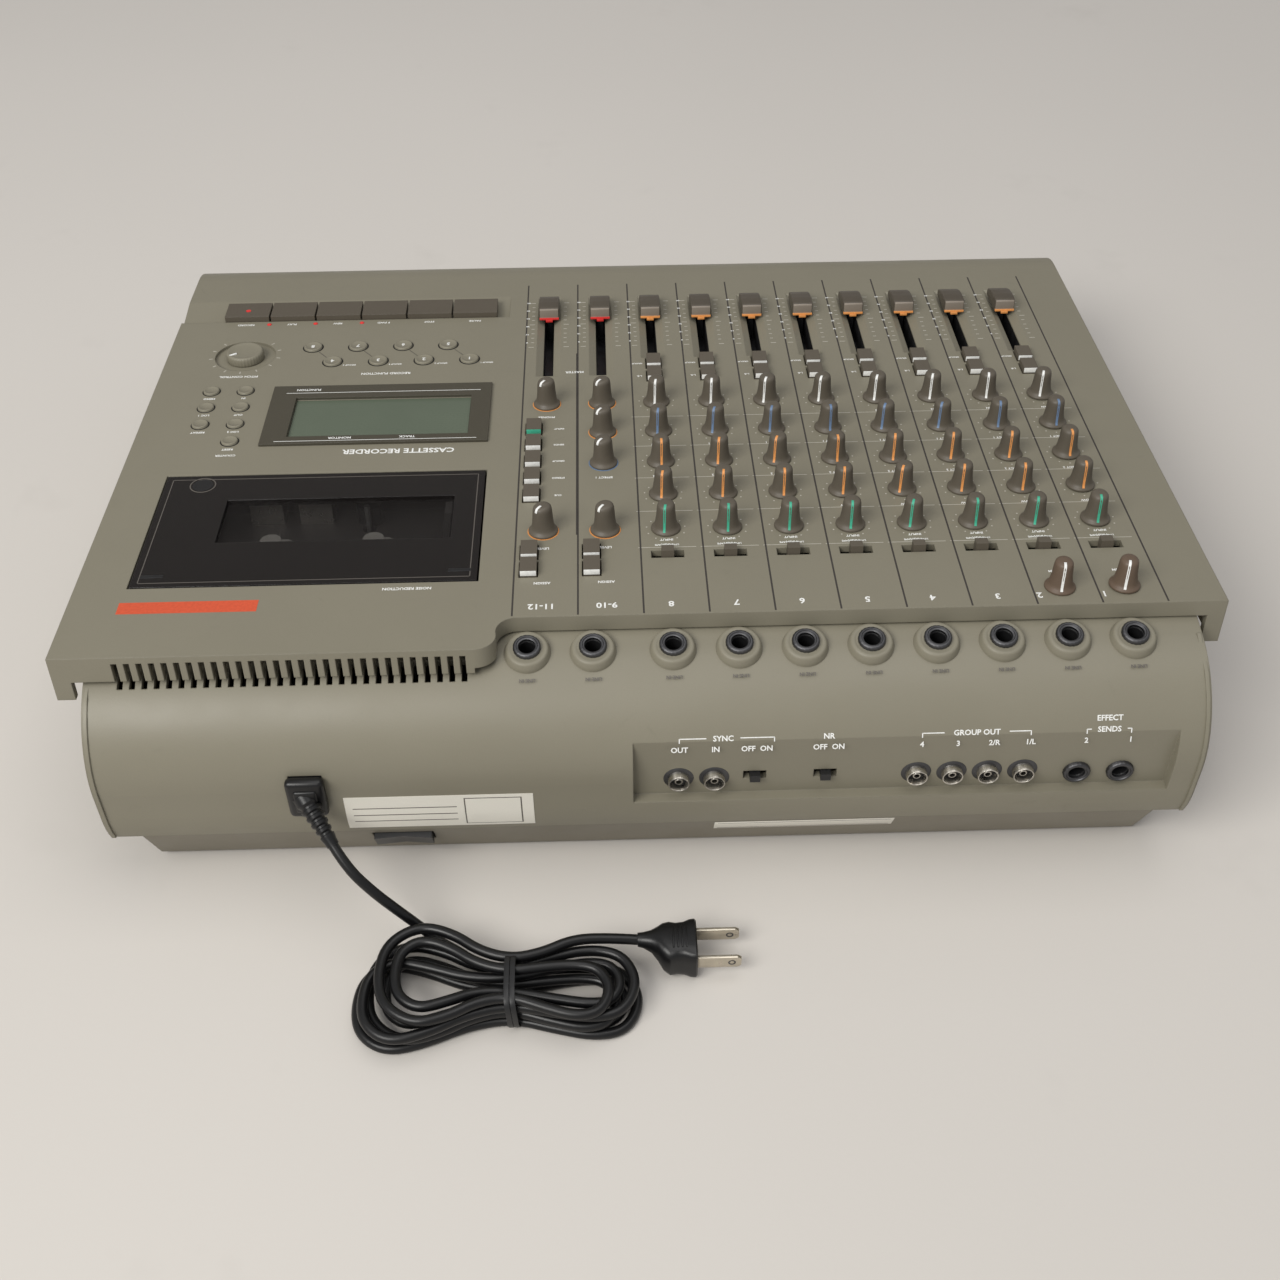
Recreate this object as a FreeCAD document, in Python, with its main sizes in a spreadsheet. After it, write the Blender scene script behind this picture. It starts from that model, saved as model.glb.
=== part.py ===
import FreeCAD, Part
import math
import os
import Sketcher

os.makedirs("parts", exist_ok=True)
doc = FreeCAD.newDocument("cassette_recorder")
sheet = doc.addObject("Spreadsheet::Sheet", "Sizes")


class Size:
    """A size: the sheet expression that gives it, and its number."""

    def __init__(self, text, value):
        self.text = text
        self.value = value

    def __add__(self, other):
        return joined(self, "+", other, lambda a, b: a + b)

    def __sub__(self, other):
        return joined(self, "-", other, lambda a, b: a - b)

    def __mul__(self, other):
        return joined(self, "*", other, lambda a, b: a * b)

    def __truediv__(self, other):
        return joined(self, "/", other, lambda a, b: a / b)

    def __neg__(self):
        return Size("(0 - %s)" % self.text, -self.value)


def as_size(number):
    if isinstance(number, Size):
        return number
    return Size("(%r)" % float(number), float(number))


def joined(first, sign, second, rule):
    one = as_size(first)
    two = as_size(second)
    return Size("(%s %s %s)" % (one.text, sign, two.text), rule(one.value, two.value))


def sine(angle):
    return Size("sin(%s * 1deg)" % angle.text, math.sin(math.radians(angle.value)))


def cosine(angle):
    return Size("cos(%s * 1deg)" % angle.text, math.cos(math.radians(angle.value)))


def tangent(angle):
    return Size("tan(%s * 1deg)" % angle.text, math.tan(math.radians(angle.value)))


def root(square):
    return Size("sqrt(%s)" % square.text, math.sqrt(square.value))


# Every independent size, in millimetres and degrees. Positions on the panel are given as x (to the
# deck side) and v (to the rear, from the rear edge of the mixer part); heights w stand on the panel.
TABLE = (
    # Housing
    ("width", 450),
    ("depth", 364),
    ("rear_bulge", 43.5),
    ("edge_height", 104.4),
    ("tilt", 6),
    ("wall", 3),
    ("front_round", 33),
    ("front_lip", 41),
    ("side_lip", 20),
    ("lip_return", 20),
    ("mixer_lip", 7),
    ("deck_lip", 11.5),
    ("notch_lip", 9),
    ("deck_reach", 19),
    ("notch_in", 50),
    ("notch_out", 66),
    ("lip_end", 7),
    ("cover_gap", 1.5),
    ("lip_gap", 7.5),
    ("rear_slope", 8),
    ("rear_drop", 7.9),
    ("rear_radius", 40),
    ("face_bottom", 42),
    ("ledge", 28),
    ("split_back", 11.5),
    ("split_top", 85),
    ("panel_tuck", 4.6),
    ("plinth_step", 12.5),
    ("plinth_lean", 14.5),
    ("foot_height", 2.5),
    ("foot_radius", 8),
    ("foot_side", 30),
    ("foot_end", 28),
    ("post_radius", 4.5),
    ("post_rear", 15),
    ("post_mid", 120),
    ("post_front", 285),
    ("screw_radius", 1.5),
    ("screw_head", 3),
    ("screw_length", 12),
    ("tiny", 0.3),
    ("flutes", 10),
    ("flat_share", 0.96),
    ("spare", 1),
    # Channel strips and faders
    ("pitch", 25.4),
    ("strip_count", 8),
    ("column_first", -9.4),
    ("master_column", 41),
    ("stereo_column", 15.6),
    ("well_front", 264.5),
    ("channel_travel", 44),
    ("master_travel", 60),
    ("well_top", 11.6),
    ("well_bottom", 4.7),
    ("well_depth", 2.2),
    ("cap_width", 10),
    ("cap_length", 20),
    ("cap_height", 7.2),
    ("cap_front", 4.5),
    ("cap_crown", 6.4),
    ("cap_lift", 0.6),
    ("cap_rest", 6),
    ("cap_bevel", 2),
    ("stem_width", 3),
    ("stem_length", 8),
    ("fader_width", 9),
    ("board_depth", 18),
    ("board_thick", 1.6),
    ("board_margin", 8),
    # Rotary knobs
    ("knob_front", 158.6),
    ("knob_pitch", 25.4),
    ("knob_rows", 5),
    ("trim_row", 11.3),
    ("knob_radius", 6.1),
    ("knob_waist", 4.4),
    ("knob_top", 3.5),
    ("knob_flare", 2.6),
    ("knob_height", 13),
    ("knob_lift", 0.3),
    ("shaft_radius", 3),
    ("shaft_hole", 3.6),
    ("pot_size", 11),
    ("pot_depth", 7),
    # Push buttons
    ("push_width", 6.7),
    ("push_length", 9.5),
    ("push_height", 3),
    ("push_front", 195),
    ("push_pitch", 12),
    ("monitor_x", 46.5),
    ("monitor_front", 137),
    ("monitor_pitch", 13.4),
    ("assign_x", 21.3),
    ("assign_front", 42.2),
    ("assign_pitch", 11.5),
    ("select_row", 39.3),
    ("select_length", 13.3),
    ("select_width", 5),
    ("select_knob", 5),
    ("select_height", 3),
    ("push_gap", 0.5),
    ("push_stem", 8),
    # Keys
    ("key_first", 203.6),
    ("key_pitch", 22.8),
    ("key_gap", 0.9),
    ("key_rear", 245.4),
    ("key_length", 14),
    ("key_top", 2.6),
    ("key_travel", 1.5),
    ("trough_front", 267),
    ("trough_rear", 244.9),
    ("trough_end", 61),
    ("trough_depth", 3),
    ("trough_lean", 2),
    ("key_stem_width", 6),
    ("key_stem_length", 4),
    ("key_stem_depth", 7),
    ("key_switch", 6),
    # Deck
    ("record_radius", 4.6),
    ("record_height", 1.2),
    ("record_row", 217),
    ("record_lower", 202.4),
    ("record_x", 155.7),
    ("record_pitch", 21.9),
    ("record_shift", 11.1),
    ("memory_radius", 3.9),
    ("memory_x", 197.8),
    ("memory_pitch_x", 15.8),
    ("memory_row", 176.2),
    ("memory_pitch", 14.8),
    ("pitch_knob_x", 187.5),
    ("pitch_knob_v", 210.1),
    ("pitch_dish", 14.5),
    ("pitch_radius", 9),
    ("pitch_height", 3),
    ("dish_depth", 1.5),
    ("bezel_left", 66.9),
    ("bezel_right", 168.5),
    ("bezel_front", 178),
    ("bezel_rear", 127.2),
    ("bezel_thick", 1.2),
    ("glass_left", 76),
    ("glass_right", 157),
    ("glass_front", 167),
    ("glass_rear", 133.2),
    ("display_depth", 9),
    ("door_left", 66.8),
    ("door_right", 203.6),
    ("door_front", 104),
    ("door_rear", 24.5),
    ("door_gap", 0.7),
    ("window_left", 79),
    ("window_right", 175),
    ("window_front", 85),
    ("window_rear", 54),
    ("window_sink", 1),
    ("tape_centre", 133),
    ("tape_row", 62),
    ("tape_width", 106),
    ("tape_depth", 20),
    ("tape_front", 103),
    ("tape_rear", 27),
    ("reel_pitch", 42.5),
    ("reel_radius", 4.5),
    ("reel_height", 12),
    ("table_radius", 14),
    ("table_thick", 3),
    ("spindle_radius", 1.2),
    ("capstan_offset", 16),
    ("capstan_row", 24),
    ("flywheel_radius", 20),
    ("flywheel_thick", 7),
    ("roller_radius", 6),
    ("roller_height", 9),
    ("head_width", 14),
    ("head_length", 9),
    ("head_height", 12),
    ("motor_radius", 15),
    ("motor_height", 22),
    ("motor_side", 35),
    # Rear
    ("vent_first", 200.5),
    ("vent_pitch", 4.65),
    ("vent_count", 29),
    ("vent_width", 2.2),
    ("vent_drop", 21),
    ("jack_back", 10),
    ("collar_base", 8.5),
    ("collar_top", 7.25),
    ("collar_height", 3),
    ("nut_radius", 5.3),
    ("nut_height", 2),
    ("jack_bore", 3.25),
    ("jack_barrel", 4.4),
    ("jack_hole", 4.7),
    ("jack_body", 7),
    ("jack_depth", 26),
    ("pocket_left", 7),
    ("pocket_right", -203),
    ("pocket_depth", 4.5),
    ("pocket_bottom", 44),
    ("phono_z", 53),
    ("phono_ring", 4.15),
    ("phono_bore", 1.65),
    ("phono_well", 5.5),
    ("phono_reach", 3.5),
    ("rear_jack_z", 51.5),
    ("rear_jack_x", 166.8),
    ("rear_jack_pitch", 17.1),
    ("phono_first", 10.7),
    ("phono_pitch", 13.9),
    ("phono_bank", 103.6),
    ("phono_depth", 9),
    ("switch_first", 40.4),
    ("switch_pitch", 27.5),
    ("rear_switch_z", 54),
    ("slide_width", 9),
    ("slide_height", 4.5),
    ("slide_knob", 4),
    ("rocker_x", 99.5),
    ("rocker_z", 19),
    ("rocker_width", 23),
    ("rocker_height", 10),
    ("rocker_rise", 2.5),
    ("rocker_crown", 1.5),
    ("grip_x", 132.5),
    ("grip_z", 55),
    ("grip_width", 15),
    ("grip_height", 20),
    ("grip_reach", 4),
    ("cord_radius", 2.1),
    ("boot_radius", 4),
    ("boot_length", 20),
    ("boot_lean", 33),
    ("boot_swing", 37.5),
    ("cord_facets", 6),
    ("arc_share", 0.45),
    ("hank_x", 62),
    ("hank_y", 244),
    ("hank_half", 55.6),
    ("waist_x", -7),
    ("waist_half", 9.6),
    ("hank_height", 18.4),
    ("hank_round", 12),
    ("lobe_far", 22),
    ("lobe_near", 15),
    ("lobe_wide", 17),
    ("tie_half", 4),
    ("tie_thick", 0.8),
    ("tie_room", 0.4),
    ("plug_y", 226),
    ("plug_half", 10),
    ("plug_height", 17),
    ("plug_length", 16),
    ("neck_radius", 4.4),
    ("neck_length", 6.8),
    ("neck_y", 224.3),
    ("neck_z", 12.6),
    ("blade_width", 6.35),
    ("blade_thick", 1.5),
    ("blade_length", 17),
    ("blade_pitch", 12.7),
    # Power supply and deck electronics
    ("core_width", 48),
    ("core_depth", 40),
    ("core_height", 40),
    ("coil_width", 30),
    ("coil_over", 8),
    ("core_side", 65),
    ("core_y", 110),
)


class Table:
    """All independent sizes by name."""


s = Table()
for row, (alias, value) in enumerate(TABLE, 1):
    sheet.set("A%d" % row, alias)
    sheet.set("B%d" % row, "%s" % value)
    sheet.setAlias("B%d" % row, alias)
    setattr(s, alias, Size("Sizes.%s" % alias, float(value)))
doc.recompute()

ZERO = as_size(0)
V = FreeCAD.Vector


def bind(thing, path, size):
    thing.setExpression(path, as_size(size).text)


def move(thing, x, y, z):
    for axis, place in zip("xyz", (x, y, z)):
        bind(thing, "Placement.Base." + axis, place)
    return thing


def turn(thing, axis, angle):
    thing.Placement.Rotation = FreeCAD.Rotation(axis, 1)
    bind(thing, "Placement.Rotation.Angle", angle)
    return thing


def box(x, y, z):
    """A block between two planes on each axis."""
    block = doc.addObject("Part::Box", "block")
    for side, (low, high) in zip(("Length", "Width", "Height"), (x, y, z)):
        bind(block, side, as_size(high) - low)
    return move(block, x[0], y[0], z[0])


def drum(radius, x, y, low, high):
    """An upright cylinder."""
    form = doc.addObject("Part::Cylinder", "drum")
    bind(form, "Radius", radius)
    bind(form, "Height", as_size(high) - low)
    return move(form, x, y, low)


def stub(radius, x, y, low, high):
    """A round piece with flat flutes."""
    form = doc.addObject("Part::Prism", "stub")
    form.Polygon = int(s.flutes.value)
    bind(form, "Circumradius", radius)
    bind(form, "Height", as_size(high) - low)
    return move(form, x, y, low)


def turned(x, y, rings):
    """A tapered round piece with eight flats, through rings of radius and height."""
    stages = []
    for (radius, low), (radius_above, high) in zip(rings, rings[1:]):
        first = as_size(radius) * s.flat_share
        second = as_size(radius_above) * s.flat_share
        sides = []
        for angle in (0, 45):
            side = doc.addObject("Part::Wedge", "side")
            for path, size in (
                ("Xmin", -first),
                ("Zmin", -first),
                ("Xmax", first),
                ("Zmax", first),
                ("X2min", -second),
                ("Z2min", -second),
                ("X2max", second),
                ("Z2max", second),
                ("Ymin", low),
                ("Ymax", high),
            ):
                bind(side, path, size)
            upright = FreeCAD.Rotation(V(1, 0, 0), 90)
            side.Placement.Rotation = FreeCAD.Rotation(V(0, 0, 1), angle) * upright
            sides.append(side)
        stages.append(common("stage", sides))
    return move(fuse("turned", stages), x, y, ZERO)


def fuse(label, forms):
    if len(forms) == 1:
        forms[0].Label = label
        return forms[0]
    whole = doc.addObject("Part::MultiFuse", label)
    whole.Shapes = forms
    return whole


def group(label, forms):
    whole = doc.addObject("Part::Compound", label)
    whole.Links = forms
    return whole


def cut(label, base, tools):
    whole = doc.addObject("Part::Cut", label)
    whole.Base = base
    whole.Tool = tools[0] if len(tools) == 1 else fuse("tools", tools)
    return whole


def common(label, forms):
    whole = doc.addObject("Part::MultiCommon", label)
    whole.Shapes = forms
    return whole


def outline(body, plane, corners):
    """A closed sketch; a third number at a corner gives the arc that leaves it."""
    sketch = body.newObject("Sketcher::SketchObject", "outline")
    side = [one for one in body.Origin.OriginFeatures if one.Role == plane][0]
    sketch.AttachmentSupport = (side, [""])
    sketch.MapMode = "FlatFace"
    runs = []
    for index, corner in enumerate(corners):
        after = corners[(index + 1) % len(corners)]
        start = V(as_size(corner[0]).value, as_size(corner[1]).value, 0)
        end = V(as_size(after[0]).value, as_size(after[1]).value, 0)
        if len(corner) == 2:
            line = sketch.addGeometry(Part.LineSegment(start, end))
            runs.append((line, 1, 2))
            continue
        bend = corner[2].value
        chord = end - start
        left = V(-chord.y, chord.x, 0).normalize()
        reach = math.sqrt(bend ** 2 - (chord.Length / 2) ** 2)
        centre = (start + end) / 2 + left * math.copysign(reach, bend)
        first, last = (start, end) if bend > 0 else (end, start)
        angles = [math.atan2(p.y - centre.y, p.x - centre.x) for p in (first, last)]
        circle = Part.Circle(centre, V(0, 0, 1), abs(bend))
        arc = sketch.addGeometry(Part.ArcOfCircle(circle, angles[0], angles[1]))
        runs.append((arc, 1, 2) if bend > 0 else (arc, 2, 1))
        size = sketch.addConstraint(Sketcher.Constraint("Radius", arc, abs(bend)))
        bind(sketch, "Constraints[%d]" % size, corner[2] if bend > 0 else -corner[2])
    for index, corner in enumerate(corners):
        run = runs[index]
        before = runs[index - 1]
        sketch.addConstraint(Sketcher.Constraint("Coincident", before[0], before[2], run[0], run[1]))
        for kind, place in (("DistanceX", as_size(corner[0])), ("DistanceY", as_size(corner[1]))):
            held = sketch.addConstraint(Sketcher.Constraint(kind, run[0], run[1], place.value))
            bind(sketch, "Constraints[%d]" % held, place)
    return sketch


def prism(label, plane, corners, low, high):
    """A body with one outline on a base plane, padded between two offsets along its normal."""
    body = doc.addObject("PartDesign::Body", label)
    sketch = outline(body, plane, corners)
    bind(sketch, "AttachmentOffset.Base.z", low)
    pad = body.newObject("PartDesign::Pad", "pad")
    pad.Profile = sketch
    bind(pad, "Length", as_size(high) - low)
    return body


half = s.width / 2
edge_y = s.depth / 2 - s.rear_bulge
reach = s.front_round + (
    edge_y + s.front_round * sine(s.tilt) - s.front_round + s.depth / 2
) / cosine(s.tilt)


def on_panel(thing):
    """Puts a piece that is drawn flat onto the sloping panel."""
    move(thing, ZERO, edge_y, s.edge_height)
    return turn(thing, V(1, 0, 0), s.tilt)


def world(v, w):
    """Depth and height in the room of a point of the panel's side view."""
    y = edge_y + as_size(v) * cosine(s.tilt) - as_size(w) * sine(s.tilt)
    z = s.edge_height + as_size(v) * sine(s.tilt) + as_size(w) * cosine(s.tilt)
    return y, z


nodes = []


def node(thing, label):
    thing.Label = label
    nodes.append(thing)
    return thing


# Columns and rows of the panel
columns = [s.column_first - s.pitch * k for k in range(int(s.strip_count.value))]
rows = [s.knob_pitch * k - s.knob_front for k in range(int(s.knob_rows.value))]
keys = ("record", "play", "rewind", "fast_forward", "stop", "pause")
faders = [("channel_fader_%d" % (k + 1), x, s.channel_travel) for k, x in enumerate(columns[::-1])]
faders += [
    ("stereo_master_fader", s.stereo_column, s.master_travel),
    ("submix_master_fader", s.master_column, s.master_travel),
]

# Knobs with a turning shaft: the whole strip of channel 1, which is the outermost, with its trim
turning = [("channel_1_knob_%d" % (k + 1), columns[-1], v) for k, v in enumerate(rows)]
turning.append(("trim_knob", columns[-1], -s.trim_row))
standing = [(x, v) for x in columns[:-1] for v in rows]
standing.append((columns[-2], -s.trim_row))
standing += [(s.stereo_column, v) for v in (rows[0], rows[1], rows[2], rows[4])]
standing += [(s.master_column, v) for v in (rows[0], rows[4])]

# Top cover: outer block, hollow, rear notch
outer = prism(
    "cover_outer",
    "YZ_Plane",
    (
        (s.deck_reach, ZERO),
        (s.front_round - reach, ZERO, s.front_round),
        (-reach, -s.front_round),
        (-reach, -s.front_lip),
        (s.lip_return - reach, -s.front_lip),
        (s.lip_return + s.front_lip - s.side_lip - reach, -s.side_lip),
        (s.deck_reach, -s.side_lip),
    ),
    -half,
    half,
)
below = s.front_lip + s.wall
inner = prism(
    "cover_inner",
    "YZ_Plane",
    (
        (s.deck_reach - s.wall, -s.wall),
        (s.front_round - reach, -s.wall, s.front_round - s.wall),
        (s.wall - reach, -s.front_round),
        (s.wall - reach, -below),
        (s.deck_reach - s.wall, -below),
    ),
    s.wall - half,
    half - s.wall,
)
notch_half = (s.notch_out - s.notch_in) / 2
notch_rise = s.deck_reach / 2
notch_radius = (notch_half * notch_half + notch_rise * notch_rise) / s.deck_reach
notch_mid = s.notch_in + notch_half


def notch(label, grow):
    """The region behind the mixer's rear edge, grown into the cover."""
    return prism(
        label,
        "XY_Plane",
        (
            (-half - s.spare, -grow),
            (s.notch_in, -grow, notch_radius + grow),
            (
                notch_mid + grow * notch_half / notch_radius,
                notch_rise + grow * (notch_rise - notch_radius) / notch_radius,
                grow - notch_radius,
            ),
            (s.notch_out, s.deck_reach - grow),
            (s.notch_out, s.deck_reach + s.spare),
            (-half - s.spare, s.deck_reach + s.spare),
        ),
        -below - s.spare,
        s.spare,
    )


shell = cut(
    "cover_shell",
    cut("cover_solid", outer, [notch("notch_outer", ZERO)]),
    [cut("cover_hollow", inner, [notch("notch_inner", s.wall)])],
)
trough_floor = box(
    (s.trough_end - s.wall, half),
    (-s.trough_front - s.wall, s.wall - s.trough_rear),
    (-s.trough_depth - s.wall, -s.wall),
)
dish_floor = drum(s.pitch_dish + s.wall, s.pitch_knob_x, -s.pitch_knob_v, -s.dish_depth - s.wall, -s.wall)

openings = []
# Rear lips are shallower than the side lips
trim_v = (-s.wall * 2, s.deck_reach + s.spare)
openings.append(box((s.lip_end - half, notch_mid), trim_v, (-below, -s.mixer_lip)))
openings.append(box((notch_mid, s.notch_out), trim_v, (-below, -s.notch_lip)))
openings.append(box((s.notch_out, half - s.lip_end), trim_v, (-below, -s.deck_lip)))
# Fader wells with their slots
for name, x, travel in faders:
    well_end = travel + s.cap_length - s.well_front
    well = doc.addObject("Part::Wedge", "well")
    lean = (s.well_top - s.well_bottom) / 2
    bind(well, "Xmin", x - s.well_bottom / 2)
    bind(well, "Xmax", x + s.well_bottom / 2)
    bind(well, "X2min", x - s.well_top / 2)
    bind(well, "X2max", x + s.well_top / 2)
    bind(well, "Ymin", -s.well_depth)
    bind(well, "Ymax", s.well_depth * 0)
    bind(well, "Zmin", -(well_end - lean))
    bind(well, "Zmax", s.well_front - lean)
    bind(well, "Z2min", -well_end)
    bind(well, "Z2max", s.well_front)
    well.Placement.Rotation = FreeCAD.Rotation(V(1, 0, 0), 90)
    openings.append(well)
    openings.append(
        box(
            (x - s.well_bottom / 2, x + s.well_bottom / 2),
            (lean - s.well_front, well_end - lean),
            (-s.wall - s.spare, s.spare - s.well_depth),
        )
    )
# Holes for the turning shafts
for name, x, v in turning + [("pitch_knob", s.pitch_knob_x, -s.pitch_knob_v)]:
    openings.append(stub(s.shaft_hole, x, v, -below, s.spare))
openings.append(drum(s.pitch_dish, s.pitch_knob_x, -s.pitch_knob_v, -s.dish_depth, s.spare))
# Input selector slots
for x in columns:
    openings.append(
        box(
            (x - s.select_length / 2, x + s.select_length / 2),
            (-s.select_row - s.select_width / 2, s.select_width / 2 - s.select_row),
            (-s.wall - s.spare, s.spare),
        )
    )
# Holes of the small push buttons
push_banks = (
    (
        "channel_buttons",
        [(x, s.push_pitch * k - s.push_front) for x in columns for k in range(2)],
    ),
    (
        "monitor_buttons",
        [(s.monitor_x, s.monitor_pitch * k - s.monitor_front) for k in range(5)]
        + [(x, s.assign_pitch * k - s.assign_front) for x in (s.monitor_x, s.assign_x) for k in range(2)],
    ),
)


def push(x, v, grow, low, high):
    return box(
        (x - s.push_width / 2 - grow, x + s.push_width / 2 + grow),
        (v - s.push_length / 2 - grow, v + s.push_length / 2 + grow),
        (low, high),
    )


for name, places in push_banks:
    openings += [push(x, v, s.push_gap, -s.wall - s.spare, s.spare) for x, v in places]
# Key trough and stem slots
openings.append(
    prism(
        "trough",
        "YZ_Plane",
        (
            (-s.trough_front, s.spare),
            (-s.trough_front, ZERO),
            (-s.trough_rear - s.trough_lean, -s.trough_depth),
            (-s.trough_rear, -s.trough_depth),
            (-s.trough_rear, s.spare),
        ),
        s.trough_end,
        half + s.spare,
    )
)
key_centres = [
    (name, s.key_first - s.key_pitch * (k + 0.5), -s.key_rear - s.key_length / 2)
    for k, name in enumerate(keys)
]
for name, x, v in key_centres:
    openings.append(
        box(
            (x - s.key_stem_width / 2 - s.spare, x + s.key_stem_width / 2 + s.spare),
            (v - s.key_stem_length / 2 - s.spare, v + s.key_stem_length / 2 + s.spare),
            (-below, ZERO),
        )
    )
# Display and cassette openings
openings.append(
    box(
        (s.glass_left, s.glass_right),
        (-s.glass_front, -s.glass_rear),
        (-s.wall - s.spare, s.spare),
    )
)
openings.append(
    box(
        (s.door_left - s.door_gap, s.door_right + s.door_gap),
        (-s.door_front - s.door_gap, s.door_gap - s.door_rear),
        (-s.wall - s.spare, s.spare),
    )
)
# Rear vents through the deck's lip
vents = [s.vent_first - s.vent_pitch * k for k in range(int(s.vent_count.value))]
for x in vents:
    openings.append(
        box(
            (x - s.vent_width / 2, x + s.vent_width / 2),
            (s.deck_reach - s.wall - s.spare, s.deck_reach + s.spare),
            (-s.deck_lip - s.spare, -s.wall),
        )
    )
cover = cut("top_cover", fuse("cover_full", [shell, trough_floor, dish_floor]), openings)
node(on_panel(cover), "top_cover")

# Body behind and below the cover: side view with an arc over the rear edge
body_half = half - s.wall - s.lip_gap
arc_y = edge_y + s.rear_bulge - s.rear_radius
rear_top = s.edge_height - s.rear_drop
arc_z = (
    rear_top
    - tangent(s.rear_slope) * (arc_y + s.rear_radius * sine(s.rear_slope) - edge_y)
    - s.rear_radius * cosine(s.rear_slope)
)
under = s.wall + s.cover_gap
low_rise = s.face_bottom - s.ledge
low_y = arc_y + root(s.rear_radius * s.rear_radius - low_rise * low_rise)
body_front = world(under - reach, -s.front_lip)[0]
split_y = edge_y + s.split_back
tuck_y = edge_y - s.panel_tuck


def slope_z(y, inset):
    """Height of the rear slope, or of its inner face, at a depth."""
    return rear_top - (y - edge_y) * tangent(s.rear_slope) - as_size(inset) / cosine(s.rear_slope)


def body_sides(inset, open_top):
    """Side view of the body; the inner one is open under the panel."""
    wide = s.front_round - under - inset
    turn_y, turn_z = world(s.front_round - reach, -under - inset)
    side_y, side_z = world(under + inset - reach, -s.front_round)
    rear = s.rear_radius - inset
    tip_y = arc_y + rear * sine(s.rear_slope)
    foot_rise = s.face_bottom - s.ledge - inset
    corners = [
        (body_front + inset, s.ledge + inset),
        (side_y, side_z, -wide),
        (turn_y, turn_z),
    ]
    if open_top:
        high = s.edge_height + s.wall
        corners += [(turn_y, high), (tuck_y, high), (tuck_y, slope_z(tuck_y, inset))]
    else:
        drop = s.rear_drop - under / cosine(s.tilt)
        back = drop / (tangent(s.tilt) + tangent(s.rear_slope))
        corners.append((edge_y - back, slope_z(edge_y - back, ZERO)))
    corners += [
        (tip_y, arc_z + rear * cosine(s.rear_slope), -rear),
        (arc_y + rear, arc_z),
        (arc_y + rear, s.face_bottom, -rear),
        (arc_y + root(rear * rear - foot_rise * foot_rise), s.ledge + inset),
    ]
    return corners


no_inset = s.wall * 0
body_outer = prism("body_outer", "YZ_Plane", body_sides(no_inset, False), -body_half, body_half)
body_inner = prism("body_inner", "YZ_Plane", body_sides(s.wall, True), s.wall - body_half, body_half - s.wall)
rear_y = arc_y + s.rear_radius
rear_region = fuse(
    "rear_region",
    [
        box((-half, half), (split_y, rear_y + s.spare), (s.ledge, s.edge_height)),
        box((-half, half), (tuck_y, split_y), (s.split_top, s.edge_height)),
    ],
)

# Recess for the rear connectors, with a wall of full thickness behind it
pocket_y = rear_y - s.pocket_depth
pocket_top = arc_z + root(s.rear_radius * s.rear_radius - (pocket_y - arc_y) * (pocket_y - arc_y))
backing = common(
    "backing",
    [
        prism("backing_limit", "YZ_Plane", body_sides(no_inset, False), -body_half, body_half),
        box(
            (s.pocket_right - s.wall, s.pocket_left + s.wall),
            (pocket_y - s.wall, rear_y),
            (s.pocket_bottom - s.wall, pocket_top),
        ),
    ],
)
body_shell = cut("body_shell", body_outer, [body_inner])
rear_shell = common("rear_shell", [body_shell, rear_region])

# Sockets: ten stand on the curved panel, two in the recess
jack_columns = [s.monitor_x, s.assign_x] + columns
jack_y = edge_y + s.jack_back
jack_lean = Size("asin(%s / %s)" % ((jack_y - arc_y).text, s.rear_radius.text), math.degrees(
    math.asin((jack_y - arc_y).value / s.rear_radius.value)))
jack_z = arc_z + root(s.rear_radius * s.rear_radius - (jack_y - arc_y) * (jack_y - arc_y))
rear_jacks = [-s.rear_jack_x, -s.rear_jack_x - s.rear_jack_pitch]


def on_curve(thing, x):
    move(thing, x, jack_y, jack_z)
    thing.Placement.Rotation = FreeCAD.Rotation(V(-1, 0, 0), 1)
    bind(thing, "Placement.Rotation.Angle", jack_lean)
    return thing


def facing_rear(thing, x, z, y=pocket_y):
    """Turns an upright piece to point out of the rear recess."""
    move(thing, x, y, z)
    thing.Placement.Rotation = FreeCAD.Rotation(V(-1, 0, 0), 90)
    return thing



def socket(stand):
    """A quarter-inch jack about its own axis; the wall's face is at zero."""
    back = -s.wall - s.spare - s.jack_depth
    solid = fuse(
        "socket_solid",
        [
            stub(s.nut_radius, ZERO, ZERO, stand, stand + s.nut_height),
            stub(s.jack_barrel, ZERO, ZERO, -s.wall - s.spare * 2, stand + s.nut_height),
            box((-s.jack_body, s.jack_body), (-s.jack_body, s.jack_body), (back, -s.wall - s.spare)),
        ],
    )
    return cut("socket", solid, [drum(s.jack_bore, ZERO, ZERO, back + s.wall, stand + s.nut_height + s.spare)])


collars = []
rear_holes = []
sockets = []
for x in jack_columns:
    collar = turned(ZERO, ZERO, ((s.collar_base, -s.spare), (s.collar_top, s.collar_height)))
    collars.append(on_curve(group("collar", [collar]), x))
    hole = stub(s.jack_hole, ZERO, ZERO, -s.wall * 2, s.collar_height + s.spare)
    rear_holes.append(on_curve(group("hole", [hole]), x))
    sockets.append(on_curve(socket(s.collar_height), x))
for x in rear_jacks:
    hole = stub(s.jack_hole, ZERO, ZERO, -s.wall - s.spare, s.spare)
    rear_holes.append(facing_rear(group("hole", [hole]), x, s.rear_jack_z))
    sockets.append(facing_rear(socket(no_inset), x, s.rear_jack_z))
phono_x = [-s.phono_first - s.phono_pitch * k for k in range(2)]
phono_x += [-s.phono_bank - s.phono_pitch * k for k in range(4)]
rings = []
bores = []
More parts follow.
